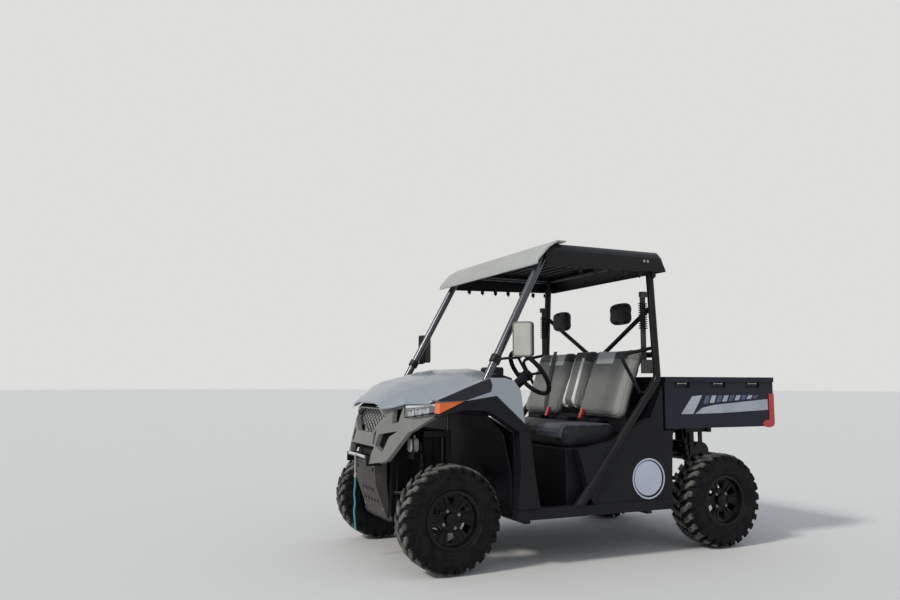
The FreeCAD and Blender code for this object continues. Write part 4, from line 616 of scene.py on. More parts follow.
DRESSED = [
    ("chassis_frame", black_powder_coat, 3),
    ("front_tower", black_powder_coat, 3),
    ("rear_tower", black_powder_coat, 3),
    ("belly_pan", black_polypropylene, 2),
    ("skid_guard", guard_coat, 1.5),
    ("front_arms", black_powder_coat, 0),
    ("rear_arms", black_powder_coat, 0),
    ("rear_hubs", cast_iron, 2.5),
    ("left_knuckle", cast_iron, 2.5),
    ("right_knuckle", cast_iron, 2.5),
    ("drive_shafts", cast_aluminium, 5),
    ("tie_rods", bright_zinc, 0),
    ("rack_housing", cast_aluminium, 1),
    ("steering_wheel", soft_rubber, 0),
    ("steering_column", black_polypropylene, 2),
    ("cab_floor", black_polypropylene, 7),
    ("footwell", black_polypropylene, 4),
    ("dash", black_polypropylene, 10),
    ("seat_box", black_polypropylene, 12),
    # the front hoop's silver-grey is painted light on satin black tubes
    ("front_hoop", sunlit_pillar_coat, 0),
    ("rear_hoop", black_powder_coat, 0),
    ("side_loops", black_powder_coat, 0),
    ("roof_visor", visor_grey, 4),
    ("hood", silver_lacquer, 5),
    ("front_fenders", silver_lacquer, 6),
    ("front_arches", black_polypropylene, 9),
    ("corner_lamps", amber_acrylic, 4),
    ("front_fascia", grey_abs, 3),
    # the aluminium radiator is drawn in black powder coat as painted shade behind the grille
    ("radiator", black_powder_coat, 2),
    ("bumper_bracket", black_powder_coat, 3),
    ("winch", cast_iron, 2),
    ("winch_hook", bright_zinc, 0),
    ("side_panels", black_polypropylene, 8),
    ("engine_block", cast_aluminium, 6),
    ("exhaust", heated_steel, 4),
    ("tow_hitch", black_powder_coat, 2),
    ("cargo_bed", bed_polypropylene, 4),
    ("tailgate", bed_polypropylene, 5),
    ("tail_lamps", red_acrylic, 1.5),
    ("strut_cylinders", black_powder_coat, 0),
    ("strut_rods", bright_zinc, 0),
    ("seat_belts", belt_webbing, 1),
    ("front_left_rim", satin_black, 0),
    ("front_right_rim", satin_black, 0),
    ("rear_left_rim", satin_black, 0),
    ("rear_right_rim", satin_black, 0),
]
for node, finish, edge in DRESSED:
    dressed(node, finish, edge)

# Wheels: end, place across, width of the tyre

WHEELS = [("front", 598, 196), ("rear", 631, 236)]
LUGS = 26
LUG_HALF = 19
LUG_SLANT = 22
LUG_ROUND = 3
TREAD_RADIUS = 293
TIP_RADIUS = 312.6
SHOULDER = 34
CARCASS_STEPS = 104
# from the tyre's side in to its bead, from there out to the rim's lip and in to its disc
BEAD_INSET = 22
RIM_LIP = 5
DISC_INSET = 34
STUDS = 4
STUD_CIRCLE = 55
STUD_ANGLE = {"front": 63, "rear": 45}
SPOKES = 6
SPOKE_HALF_ANGLE = 0.36


def lug(form, half, way):
    """One chevron lug at the top of the tyre, from the middle out over the shoulder."""
    # place across, shift along the tread, height of the foot and of the tip
    sections = [(5, LUG_SLANT, TREAD_RADIUS - 6, TIP_RADIUS - 0.5),
                (half * 0.45, LUG_SLANT - 20, TREAD_RADIUS - 6, TIP_RADIUS),
                (half - SHOULDER, -LUG_SLANT, TREAD_RADIUS - 14, TIP_RADIUS - 1),
                (half - 13, -LUG_SLANT - 2, TREAD_RADIUS - 30, TIP_RADIUS - 12),
                (half - 3, -LUG_SLANT - 3, TREAD_RADIUS - 46, TIP_RADIUS - 28)]
    face = None
    for number, (across, shift, foot, tip) in enumerate(sections):
        spots = [Vector((shift + side * LUG_HALF, way * across, level))
                 for side, level in ((-1, foot), (1, foot), (1, tip), (-1, tip))]
        if face:
            face = pushed_on(form, face, spots, number == 1)
        else:
            face = form.faces.new([form.verts.new(spot * MM) for spot in spots])


def tyre(end, side, way, middle, width):
    """Tyre with a round carcass, ribbed side walls and two staggered rows of lugs."""
    half = width / 2
    bead = half - BEAD_INSET
    # radius and place across of one half of the section
    wall = [(158.6, bead), (171.5, bead), (174, half - 15), (183, half - 7), (186, half - 4),
            (190, half - 4), (192, half - 6), (214, half - 1.5), (236, half), (252, half - 1),
            (254, half - 3.5), (258, half - 4.5), (274, half - 12), (286, half - 24),
            (TREAD_RADIUS, half - 40), (TREAD_RADIUS + 2, half * 0.4), (TREAD_RADIUS + 3, 6)]
    profile = wall + [(radius, -place) for radius, place in reversed(wall)]
    form = bmesh.new()
    for row in (1, -1):
        start = len(form.verts)
        lug(form, half, row)
        form.verts.ensure_lookup_table()
        verts = form.verts[start:]
        bmesh.ops.recalc_face_normals(form, faces=faces_at(verts))
        bevelled(form, edges_at(verts), LUG_ROUND, 2)
    lugs = whole(form)

    def roll(verts, angle):
        bmesh.ops.rotate(form, verts=verts, cent=(0, 0, 0), matrix=Matrix.Rotation(angle, 3, "Y"))

    pitch = math.tau / LUGS
    roll([vert for vert in form.verts if vert.co.y < 0], pitch / 2)
    for k in range(1, LUGS):
        roll(points(bmesh.ops.duplicate(form, geom=lugs)["geom"]), k * pitch)
    carcass = bmesh.new()
    turned(carcass, profile, (0, 0, 0), (0, 1, 0), CARCASS_STEPS)
    mesh = bpy.data.meshes.new("carcass")
    outward(carcass).to_mesh(mesh)
    carcass.free()
    form.from_mesh(mesh)
    bpy.data.meshes.remove(mesh)
    centre = AXLES[end] + Vector((0, way * middle * MM, 0))
    bmesh.ops.translate(form, verts=form.verts, vec=centre)
    name = "%s_%s_tyre" % (end, side)
    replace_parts(settled(name + "_lugged", form, rubber[end], body_of[name], 40), name)


def wheel_details(end, side, way, middle, width):
    """Nuts, cap and spoke ribs on the wheel's disc."""
    face = middle + width / 2 - BEAD_INSET + RIM_LIP - DISC_INSET
    axle = AXLES[end] / MM
    name = "%s_%s" % (end, side)
    body = body_of[name + "_rim"]

    def from_hub(angle, radius, out):
        """A place on the disc, this far round, from the axle and out of its face."""
        return (Vector((axle.x, face + out, axle.z))
                + Vector((math.cos(angle), 0, math.sin(angle))) * radius)

    nuts = bmesh.new()
    for k in range(STUDS):
        foot = from_hub(math.tau * k / STUDS + math.radians(STUD_ANGLE[end]), STUD_CIRCLE, -13.8)
        collar = foot + Vector((0, 9, 0))
        bar(nuts, foot, collar, 11, 6)
        bar(nuts, collar, foot + Vector((0, 17, 0)), 8.5, 12, 5)
    spokes = bmesh.new()
    for k in range(SPOKES):
        for lean in (-1, 1):
            angle = math.tau * ((k + 0.5) / SPOKES) + lean * SPOKE_HALF_ANGLE
            bar(spokes, from_hub(angle, 64, -13), from_hub(angle, 141, -3), 7, 8, 9)
    turned(spokes, [(3, 13), (14, 12), (25, 9), (31, 8), (35, 5), (36, -16), (3, -16)],
           (axle.x, face, axle.z), (0, 1, 0), 40)
    bar(spokes, (axle.x, face - 10, axle.z), (axle.x, face + 12.4, axle.z), 5, 16)
    for form in (nuts, spokes):
        if way < 0:
            bmesh.ops.scale(form, verts=form.verts, vec=(1, -1, 1))
    single(name + "_wheel_nuts", nuts, bright_zinc, 0.8, 1, body)
    single(name + "_wheel_spokes", spokes, satin_black, body=body)


rubber = {end: tyre_rubber(end) for end in AXLES}
for end, middle, width in WHEELS:
    for side, way in SIDES:
        tyre(end, side, way, middle, width)
        wheel_details(end, side, way, middle, width)

# Shocks: damper, spring and eyes in place of the plain ones

EYE_RADIUS = 13
EYE_HALF = Vector((15, 0, 0))
COIL_RADIUS = 25
WIRE_RADIUS = 4.6
COIL_TURNS = 8
COIL_STEPS = 22


def shock_absorbers():
    """Four coil-over shocks between the eyes of the construction's ones."""
    plain = [vert.co / MM for vert in frame["nodes"]["shocks"].data.vertices]
    dampers = bmesh.new()
    springs = bmesh.new()
    for x_way, y_way in ((1, 1), (1, -1), (-1, 1), (-1, -1)):
        mine = [p for p in plain if p.x * x_way > 0 and p.y * y_way > 0]
        low = min(p.z for p in mine)
        high = max(p.z for p in mine)
        ends = [[p for p in mine if p.z < low + 8], [p for p in mine if p.z > high - 8]]
        foot, top = (sum(end, Vector()) / len(end) for end in ends)
        foot.z, top.z = low + EYE_RADIUS, high - EYE_RADIUS
        along = (top - foot).normalized()
        length = (top - foot).length
        for eye in (foot, top):
            bar(dampers, eye - EYE_HALF, eye + EYE_HALF, EYE_RADIUS, 20)
        bar(dampers, foot, foot + along * length * 0.55, 9, 16)
        bar(dampers, foot + along * length * 0.42, top, 19, 24)
        for share in (0.12, 0.88):
            turned(dampers, [(6, -4), (30, -4), (33, 0), (30, 4), (6, 4)],
                   foot + along * length * share, along, 28)
        start = foot + along * length * 0.14
        out = along.orthogonal().normalized()
        coil = bmesh.ops.create_circle(
            springs, cap_ends=False, segments=10, radius=WIRE_RADIUS * MM,
            matrix=Matrix.Translation((start + out * COIL_RADIUS) * MM)
            @ facing(along.cross(out)))["verts"]
        rise = length * 0.72 / (COIL_TURNS * COIL_STEPS) * MM
        bmesh.ops.spin(springs, geom=coil + edges_at(coil), cent=start * MM, axis=along,
                       dvec=along * rise, angle=math.tau * COIL_TURNS,
                       steps=COIL_TURNS * COIL_STEPS)
    body = body_of["shocks"]
    single("shock_dampers", dampers, black_powder_coat, body=body, node="shocks")
    single("shock_springs", springs, cast_iron, body=body)


shock_absorbers()

# end, place of each boot's start and end across, radius of its valleys and ribs
BOOTS = [("front", 110, 175, 36.5, 43), ("front", 395, 450, 30.5, 38),
         ("rear", 110, 175, 36.5, 43), ("rear", 424, 478, 30.5, 38)]
BOOT_RIBS = 5


def shaft_boots():
    """Ribbed rubber boots over the joints of the half shafts."""
    form = bmesh.new()
    for end, start, last, low, high in BOOTS:
        axle = AXLES[end] / MM
        pitch = (last - start) / (2 * BOOT_RIBS)
        outline = [(high if k % 2 else low, start + k * pitch) for k in range(2 * BOOT_RIBS + 1)]
        turned(form, [(14, start)] + outline + [(14, last)], (axle.x, 0, axle.z), (0, 1, 0), 28)
    pair("shaft_boots", form, soft_rubber, smooth_to=60)


shaft_boots()

# Headlamps in the lamp's own plane: u outwards along the face, v up

LAMP_CORNER = Vector((1268, 392, 892))
LAMP_OUT = Vector((-104, 246, 0)).normalized()
LAMP_FACE = Vector((246, 104, 0)).normalized()
# corners of the lamp's face, and the middle of each reflector
LAMP_FRONT = [(0, 0), (267, 38), (267, 96), (0, 80)]
LAMP_BOWLS = [(56, 32), (118, 41), (180, 49)]


def on_lamp(u, v, depth):
    """A point of the left lamp, this far behind its face."""
    return LAMP_CORNER + LAMP_OUT * u + Vector((0, 0, v)) - LAMP_FACE * depth


def lamp_loop(inset, depth):
    """The face's outline drawn in by an inset, at a depth."""
    centre_u = sum(u for u, v in LAMP_FRONT) / 4
    centre_v = sum(v for u, v in LAMP_FRONT) / 4
    return [on_lamp(u - math.copysign(inset, u - centre_u), v - math.copysign(inset, v - centre_v),
                    depth) for u, v in LAMP_FRONT]


def headlamps():
    """Housing, reflectors, light strip and lens."""
    loops = [lamp_loop(0, 70), lamp_loop(0, 0), lamp_loop(5, 0), lamp_loop(9, 34)]
    form = bmesh.new()
    face = form.faces.new([form.verts.new(spot * MM) for spot in loops[0]])
    for loop in loops[1:]:
        face = pushed_on(form, face, loop, loop is loops[1])
    pair("headlamp_housings", form, black_polypropylene, 2, node="headlamps")
    form = bmesh.new()
    bowl = [(5, -30), (16, -26), (24, -14), (27, -3), (28.5, -3), (26, -16), (17, -28), (5, -32)]
    for u, v in LAMP_BOWLS:
        turned(form, bowl, on_lamp(u, v, 0), LAMP_FACE, 36)
        bar(form, on_lamp(u, v, 32), on_lamp(u, v, 18), 6, 16, 4)
    pair("headlamp_reflectors", form, chrome)
    form = bmesh.new()
    panel(form, [on_lamp(u, v, 12) for u, v in ((11, 59), (250, 77), (258, 91), (11, 75))], 8)
    pair("headlamp_strips", form, white_acrylic, 2)
    form = bmesh.new()
    panel(form, lamp_loop(4, 3), 3)
    pair("headlamp_lenses", form, clear_acrylic, 1.2)


headlamps()

# Stickers and strips on the panels

SIDE_FACE = 712.4
DISC_CENTRE = (-311, 490)
FENDER_FACE = 718.2
# x and z of the strip's corners
FENDER_STRIP = [(1190, 1004), (1173, 995), (1006, 1002), (842, 1052), (833, 1090), (848, 1131),
                (910, 1112)]
BED_FACE = 700.3
# finish, then x and z of each plain stripe's corners
BED_STRIPES = [
    (silver_vinyl, [(-604, 899), (-704, 1018), (-792, 1024), (-708, 899)]),
    (silver_vinyl, [(-726, 899), (-792, 940), (-900, 958), (-1394, 994), (-1394, 918),
                    (-960, 902)]),
]
STRIPE_PITCH = 56
for number in range(9):
    shift = STRIPE_PITCH * number
    BED_STRIPES.append((silver_vinyl if number % 2 else slate_vinyl, [
        (-800 - shift, 968 + 4 * number), (-822 - shift, 1022), (-862 - shift, 1022),
        (-840 - shift, 968 + 4 * number)]))


def plate_on_side(form, corners, face, thickness):
    """A thin plate on the vehicle's left: corners are x and z."""
    for vert in panel(form, [(x, face, z) for x, z in corners], thickness):
        vert.co.y = (face + thickness) * MM


def ring_spots(radius, count=72, centre=DISC_CENTRE):
    """Places round a circle on the side."""
    return [(centre[0] + radius * math.cos(math.tau * k / count),
             centre[1] + radius * math.sin(math.tau * k / count)) for k in range(count)]


def side_film(name, corners, face, thickness, finish, **how):
    """A plain plate or film on both sides of the vehicle."""
    form = bmesh.new()
    plate_on_side(form, corners, face, thickness)
    pair(name, form, finish, **how)


def side_discs():
    """Round white sticker with a dark crescent, one on each side."""
    side_film("side_discs", ring_spots(130), SIDE_FACE, 0.5, white_vinyl)
    form = bmesh.new()
    outer = ring_spots(119)
    inner = ring_spots(110, centre=(DISC_CENTRE[0] + 5, DISC_CENTRE[1] + 3))
    for k in range(len(outer)):
        after = (k + 1) % len(outer)
        plate_on_side(form, [outer[k], outer[after], inner[after], inner[k]], SIDE_FACE + 0.5, 0.3)
    pair("side_disc_rings", form, black_vinyl)


side_discs()
side_film("fender_strips", FENDER_STRIP, FENDER_FACE, 0.6, black_vinyl)
for number, (film, corners) in enumerate(BED_STRIPES):
    side_film("bed_stripes_%d" % number, corners, BED_FACE, 0.5, film, body="bed")

# Roof

ROOF_ROUND = 48
ROOF_EDGE_Y = 0.704


def roof_shell():
    """Roof with its long edges rounded, small tabs under its skirt, bolts and ceiling ribs."""
    form = copy_of("roof_shell")
    edges = []
    for edge in form.edges:
        ways = [face.normal for face in edge.link_faces]
        outer = min(abs(vert.co.y) for vert in edge.verts) > ROOF_EDGE_Y
        side = any(abs(way.y) > 0.95 for way in ways)
        top = any(abs(way.y) < 0.3 and way.z > 0.15 for way in ways)
        if outer and side and top:
            edges.append(edge)
    bevelled(form, edges, ROOF_ROUND, 6)
    piece = settled("roof_shell_dressed", form, roof_polyethylene, "chassis", CORNER_FROM)
    rounded(piece, 4, 2, 40)
    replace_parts(piece, "roof_shell")
    tabs = []
    for x in range(-410, 299, 118):
        tabs += [((x - 14, 688, 1816), (x + 14, 700, 1846)),
                 ((x - 5, 684, 1806), (x + 5, 696, 1820))]
    pair("roof_tabs", blocks(tabs), black_polypropylene, 3)
    form = bmesh.new()
    for x in (-352, -322):
        bolt(form, (x, 705, 1918), (0, 1, 0), 7, 4)
    pair("roof_bolts", form, bright_zinc)
    # ribs on the ceiling run across between the cage tubes
    ribs = [((x - 5, -610, 1960), (x + 5, 610, 1971)) for x in range(-330, 279, 76)]
    single("roof_ribs", blocks(ribs), black_polypropylene, 3)


roof_shell()

# Nose

NOSE_X = 1424
NOSE_LEAN = 0.22
NOSE_Z = 620
# y and height over the nose's bottom
GRILLE_CORNERS = [(-146, 168), (146, 168), (281, 277), (181, 322), (-181, 322), (-281, 277)]
GRILLE_BACK = 52.3
GRILLE_DEPTH = 4
GRILLE_FRAME = 10
CELL_PITCH = 34
CELL_WALL = 2.6
# height from and to, then y and how far back for each point
NOSE_INNER = [(55, 204, [(170, 54), (236, 56), (330, 98), (352, 118)]),
              (228, 334, [(262, 72), (330, 98), (384, 144)])]


def on_nose(y, height, back):
    """A point of the nose's leaning plane in mm, this far behind it."""
    return Vector((NOSE_X - NOSE_LEAN * height - back, y, NOSE_Z + height))


def hollowed(form, face, wall):
    """Leave only a rim, this wide, of a face."""
    bmesh.ops.inset_region(form, faces=[face], thickness=wall, use_boundary=True,
                           use_even_offset=True)
    bmesh.ops.delete(form, geom=[face], context="FACES_ONLY")


def grille():
    """Honeycomb of thin walls in a hexagonal frame, with a black plate behind it as painted shade.
    """
    # drawn flat in mm first, with x across and y up, then laid on the nose
    form = bmesh.new()
    reach = CELL_PITCH / math.sqrt(3)
    for row in range(6):
        for column in range(-10, 11):
            middle = Vector((column * reach * 1.5,
                             160 + CELL_PITCH * (row + 0.5 * (column % 2)), 0))
            outer = bmesh.ops.create_circle(form, cap_ends=True, segments=6, radius=reach,
                                            matrix=Matrix.Translation(middle)
                                            @ Matrix.Rotation(math.radians(90), 4, "Z"))["verts"]
            hollowed(form, outer[0].link_faces[0], CELL_WALL)
    bmesh.ops.remove_doubles(form, verts=form.verts, dist=0.05)
    for corner, after in zip(GRILLE_CORNERS, GRILLE_CORNERS[1:] + GRILLE_CORNERS[:1]):
        bmesh.ops.bisect_plane(form, geom=whole(form), plane_co=(*corner, 0),
                               plane_no=(after[1] - corner[1], corner[0] - after[0], 0),
                               clear_outer=True)
    rim = form.faces.new([form.verts.new((*corner, 0)) for corner in GRILLE_CORNERS])
    hollowed(form, rim, GRILLE_FRAME)
    made = bmesh.ops.extrude_face_region(form, geom=form.faces[:])["geom"]
    bmesh.ops.translate(form, verts=points(made), vec=(0, 0, GRILLE_DEPTH))
    for vert in form.verts:
        vert.co = on_nose(vert.co.x, vert.co.y, GRILLE_BACK + vert.co.z) * MM
    bmesh.ops.recalc_face_normals(form, faces=form.faces)
    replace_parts(settled("grille_mesh", form, visor_grey, "chassis", 30), "grille")
    # a black plate behind the honeycomb: painted shade in the nose
    form = bmesh.new()
    panel(form, [on_nose(y, height, GRILLE_BACK + 14) for y, height in GRILLE_CORNERS], 2)
    single("grille_shade", form, black_polypropylene)


def nose_backing():
    """Black inner panels behind the nose's openings."""
    form = bmesh.new()
    for low, high, plan in NOSE_INNER:
        swept(form, [on_nose(y, low, back) for y, back in plan],
              (-NOSE_LEAN * (high - low), 0, high - low), 3)
    pair("nose_backing", form, black_polypropylene)


grille()
nose_backing()
bent_bar("fairlead_bar", [(1330, -168, 640), (1425, -168, 640), (1436, -165, 644),
                          (1440, -140, 648), (1441, 0, 649), (1440, 140, 648), (1436, 165, 644),
                          (1425, 168, 640), (1330, 168, 640)], 10, chrome)

# Guard: the wings beside its plate, its bolts and a bright lip at its top whose brightness is a
# painted highlight

GUARD_EDGE = [(1381, 190, 606), (1369, 190, 470), (1326, 190, 350), (1294, 190, 270)]
GUARD_WINGS = [(-70, 22, 4), (-62, 20, 0), (-36, 10, 6), (-3, 1, 2)]


def guard_wings():
    """The guard's bent sides and the bolts of its plate."""
    form = bmesh.new()
    swept(form, GUARD_EDGE, GUARD_WINGS, 4)
    pair("guard_wings", form, guard_coat, 1.2, smooth_to=60)
    form = bmesh.new()
    for y in (-172, 172):
        for x, z in ((1382.5, 590), (1314, 322)):
            bolt(form, (x, y, z), (1, 0, -0.1), 7, 4)
    single("guard_bolts", form, bright_zinc)


guard_wings()
# a bright zinc lip along the guard's top edge: painted highlight
bent_bar("guard_highlight_lip", [(1312, 212, 611), (1372, 196, 609), (1386, 180, 608), (1387, 120, 608),
                       (1387, -120, 608), (1386, -180, 608), (1372, -196, 609), (1312, -212, 611)],
         4, bright_zinc)

# Front bay

# liner of the arch over each front wheel: x and z from the axle
LINER = [(-404, 70), (-420, 276), (-413, 488), (-200, 617), (-40, 621), (98, 590)]


def wheel_liners():
    """Black liners over the front wheels, from the arch in to the frame."""
    form = bmesh.new()
    swept(form, [(1065 + x, 641, 315 + z) for x, z in LINER], (0, -390, 0), 3)
    pair("wheel_liners", form, black_polypropylene, smooth_to=30)


def front_bay():
    """Battery box, splash panels, hoses and the coolant bottle behind the nose."""
    boxes = [((960, -150, 560), (1205, 150, 742)), ((955, -155, 742), (1210, 155, 772))]
    boxes += [((x - 12, -158, 556), (x + 12, 158, 775)) for x in (1010, 1082, 1154)]
    single("battery_box", blocks(boxes), black_polypropylene, 5)
    sheets = [((925, 176, 430), (1284, 182, 782)), ((1252, 10, 300), (1258, 262, 794)),
              ((1212, 262, 645), (1218, 420, 800))]
    sheets += [((x - 4, 182, 440), (x + 4, 190, 775)) for x in (985, 1065, 1145, 1225)]
    pair("splash_panels", blocks(sheets), black_polypropylene, 1.5)
    form = soft_block((1172, 335, 684), (1226, 405, 770), 10, 24)
    turned(form, [(0.2, 0), (15, 0), (15, 14), (12, 17), (0.2, 17)], (1198, 372, 768),
           (0, 0, 1), 24)
    single("coolant_bottle", form, bottle_polyethylene)
    form = bmesh.new()
    bar(form, (1198, 225, 788), (1198, 345, 745), 7)
    bolt(form, (1198, 262, 778), (0, 0.35, 1), 8, 5)
    single("bottle_bracket", form, black_powder_coat)
    bent_bar("bottle_hose", [(1198, 372, 784), (1198, 372, 800), (1210, 340, 822),
                             (1240, 250, 826), (1258, 190, 830)], 6, soft_rubber)
    for side, way in SIDES:
        bent_bar("brake_hose_" + side, [(1010, way * 240, 640), (1020, way * 300, 620),
                                        (1035, way * 380, 520), (1040, way * 430, 440),
                                        (1050, way * 462, 400)], 5, soft_rubber)


wheel_liners()
front_bay()

# Mirrors

MIRROR_MIDDLE = Vector((650, 772, 1367))
MIRROR_OUT = Vector((1, 1, 0)).normalized()
MIRROR_SIDE = Vector((-1, 1, 0)).normalized()
# name, width, height, corner radius, two depths, finish, edge, its segments, node it replaces
MIRROR_PLATES = [("mirror_cases", 122, 212, 20, -29, 22, black_polypropylene, 10, 3, "mirrors"),
                 ("mirror_rims", 121, 211, 19, 22, 29, grey_abs, 2.5, 2, None),
                 ("mirror_glasses", 102, 192, 13, 28, 30, mirror_glass, 0, 2, None)]
# the left front pillar's lower and upper end, and the height of the clamp on it
PILLAR_LOW = Vector((893, 672, 1045))
PILLAR_HIGH = Vector((408, 640, 1945))
CLAMP_Z = 1247


def mirrors():
    """Two mirrors: dark housing, pale rim, glass, arm and the clamp on the pillar."""
    for name, width, height, corner, near, deep, finish, edge, segments, node in MIRROR_PLATES:
        form = blocks([((-width / 2, -height / 2, near), (width / 2, height / 2, deep))])
        bevelled(form, edges_along(form, 2), corner, 6)
        for vert in form.verts:
            spot = vert.co / MM
            vert.co = (MIRROR_MIDDLE + MIRROR_SIDE * spot.x + Vector((0, 0, spot.y))
                       + MIRROR_OUT * spot.z) * MM
        pair(name, form, finish, edge, segments, node=node)
    form = bmesh.new()
    along = (PILLAR_HIGH - PILLAR_LOW).normalized()
    clamp = PILLAR_LOW + along * ((CLAMP_Z - PILLAR_LOW.z) / along.z)
    turned(form, [(25.4, -24), (33, -24), (34, -20), (34, 20), (33, 24), (25.4, 24)], clamp, along)
    bolt(form, clamp + Vector((22, 26, 0)), (0.6, 0.8, 0), 6, 5)
    pair("mirror_clamps", form, black_powder_coat)
    for side, way in SIDES:
        path = [clamp + Vector((-6, 30, 0)), clamp + Vector((-40, 60, 6)),
                MIRROR_MIDDLE + Vector((40, -26, -112)), MIRROR_MIDDLE + Vector((4, -6, -108)),
                MIRROR_MIDDLE + Vector((-6, -6, -70))]
        bent_bar(side + "_mirror_arm", [(p.x, way * p.y, p.z) for p in path], 8, black_powder_coat)


mirrors()

# Side panels

RIDGE_TOP = Vector((-46, 700, 679))
RIDGE_FOOT = Vector((208, 700, 364))
PANEL_BOTTOM = 0.352


def panel_details():
    """Ridge that takes in the slanted tube, slot vents and clips on each side panel."""
    form = bmesh.new()
    bar(form, RIDGE_TOP, RIDGE_FOOT + (RIDGE_FOOT - RIDGE_TOP) * 0.1, 27, 24, 31)
    bmesh.ops.bisect_plane(form, geom=whole(form), plane_co=(0, 0, PANEL_BOTTOM),
                           plane_no=(0, 0, -1), clear_outer=True)
    bmesh.ops.holes_fill(form, edges=[edge for edge in form.edges if edge.is_boundary])
    # a second ridge runs beside it on the panel
    bar(form, (-128, 708, 640), (118, 708, 352), 9, 12)
    pair("panel_ridges", form, black_polypropylene)
    slots = [((x - 15, 709, z - 3), (x + 15, 713.4, z + 3))
             for x, z in ((14, 684), (26, 668), (38, 652))]
    pair("panel_slots", blocks(slots), soft_rubber, 1.4)
    form = bmesh.new()
    for x, z in ((-480, 390), (-480, 700), (-420, 1050), (150, 392), (-230, 380)):
        turned(form, [(0.2, 0), (9, 0), (9, 1.4), (6.5, 3.2), (0.2, 3.6)], (x, 711.6, z),
               (0, 1, 0), 20)
    pair("panel_clips", form, soft_rubber)


panel_details()

# Cockpit

DIAL_MIDDLE = (593, 350, 1164)
DIAL_WAY = (-1, 0, 0.05)


def cockpit():
    """Instrument pod, switches, lever, handle, pedals and stalk."""
    single("instrument_pod", blocks([((596, 268, 1118), (690, 432, 1206))]), black_polypropylene,
           16, 4)
    form = bmesh.new()
    turned(form, [(0.2, 0), (34, 0), (38, 2), (38, -8), (0.2, -8)], DIAL_MIDDLE, DIAL_WAY, 40)
    single("instrument_bezel", form, chrome)
    form = bmesh.new()
    turned(form, [(0.2, 0), (31, 0), (31, 2), (0.2, 2.4)], (592.5, 350, 1164), DIAL_WAY, 40)
    single("instrument_glass", form, black_vinyl)
    switches = [((606, y - 13, 1062), (617, y + 13, 1096)) for y in (120, 160, 200, -120, -160)]
    single("dash_switches", blocks(switches), soft_rubber, 3)
    single("dash_console", blocks([((600, -70, 1010), (617, 78, 1140))]), grey_abs, 8, 3)
    form = bmesh.new()
    bar(form, (612, 100, 1010), (548, 100, 1062), 8, 16)
    turned(form, [(0.2, -20), (13, -18), (19, -6), (20, 6), (15, 20), (0.2, 24)], (540, 100, 1070),
           (-0.7, 0, 0.6), 28)
    single("gear_lever", form, soft_rubber)
    bent_bar("passenger_handle", [(614, -500, 1080), (570, -500, 1082), (556, -480, 1082),
                                  (554, -380, 1082), (556, -280, 1082), (570, -260, 1082),
                                  (614, -260, 1080)], 10, soft_rubber)
    form = bmesh.new()
    for y, z in ((300, 430), (400, 400)):
        block(form, (628, y - 30, z - 36), (640, y + 30, z + 36))
        bar(form, (636, y, z + 30), (690, y, z + 150), 8, 12)
    single("pedals", form, soft_rubber, 3)
    bent_bar("turn_stalk", [(470, 372, 1090), (462, 420, 1112), (448, 470, 1124)], 6, soft_rubber)


cockpit()

# Bed

TIE_HALF = 34
TIE_Z = 1104


def bed_details():
    """Side lamps, red strips, tie bars and the floor's ribs of the load bed."""
    oval = [(-1397 + 55 * x, 821 + 27 * z) for x, z in ring_spots(1, 40, (0, 0))]
    side_film("bed_side_lamps", oval, BED_FACE, 3, red_acrylic, edge=1.2, body="bed")
    side_film("bed_red_strips", [(-1409, 852), (-1447, 852), (-1447, 1027), (-1409, 1027)],
              BED_FACE, 0.6, faded_red_vinyl, body="bed")
    form = bmesh.new()
    for middle in (-618, -936, -1254):
        for x in (middle - TIE_HALF, middle + TIE_HALF):
            bar(form, (x, 684, TIE_Z), (x, 699, TIE_Z), 6, 12)
        bar(form, (middle - TIE_HALF, 697, TIE_Z), (middle + TIE_HALF, 697, TIE_Z), 4, 12)
    pair("bed_tie_bars", form, bright_zinc, body="bed")
    ribs = [((-1405, y - 12, 826), (-502, y + 12, 832)) for y in range(-600, 601, 200)]
    single("bed_floor_ribs", blocks(ribs), bed_polypropylene, 2.5, body="bed")


def gate_details():
    """Handle, a dark plate as painted shade for its recess, and the pressed panels of the tailgate.
    """
    # a dark rubber plate where the handle's recess lies: painted shade
    single("gate_recess_shade", blocks([((-1446.5, -110, 1040), (-1443.2, 110, 1100))]), soft_rubber,
           1.4, body="gate")
    single("gate_handle", blocks([((-1452, -80, 1076), (-1444, 80, 1094))]), black_polypropylene,
           3.5, 3, "gate")
    pressed = [((-1446, y - 60, 850), (-1443.2, y + 60, 1010)) for y in (-520, -260, 260, 520)]
    single("gate_panels", blocks(pressed), bed_polypropylene, 1.2, body="gate")


bed_details()
gate_details()

# Seats

# the backs' lean in degrees, x and z of their foot, depth and height
BACK_TILT = 21
BACK_FOOT = (-129.7, 875.3)
BACK_DEPTH = 92
BACK_HEIGHT = 520
# where the back's colours change: depth of its face, height of the dark band, edge of the bolster
BACK_FACE = -60
BAND_Z = 422
BOLSTER_Y = 558
# shoulder patches and their white hems: from the middle plane, then up the back with the colour
PATCH_SIDES = (215, 415)
PATCHES = [(390, 600, "#c2c3c1"), (390, 425, "#f0efea")]
# stripes: the middle of each across, half their width, from and to up the back, and their slant
STRIPE_PLACES = (-72, 50)
STRIPE_HALF = 17
STRIPE_RISE = (70, 440)
STRIPE_SLANT = 0.07
STRIPE_BEND = 250
# the cushion's paler panels: from the middle plane, and the height they start at
PANEL_SIDES = (262, 568)
PANEL_Z = 757


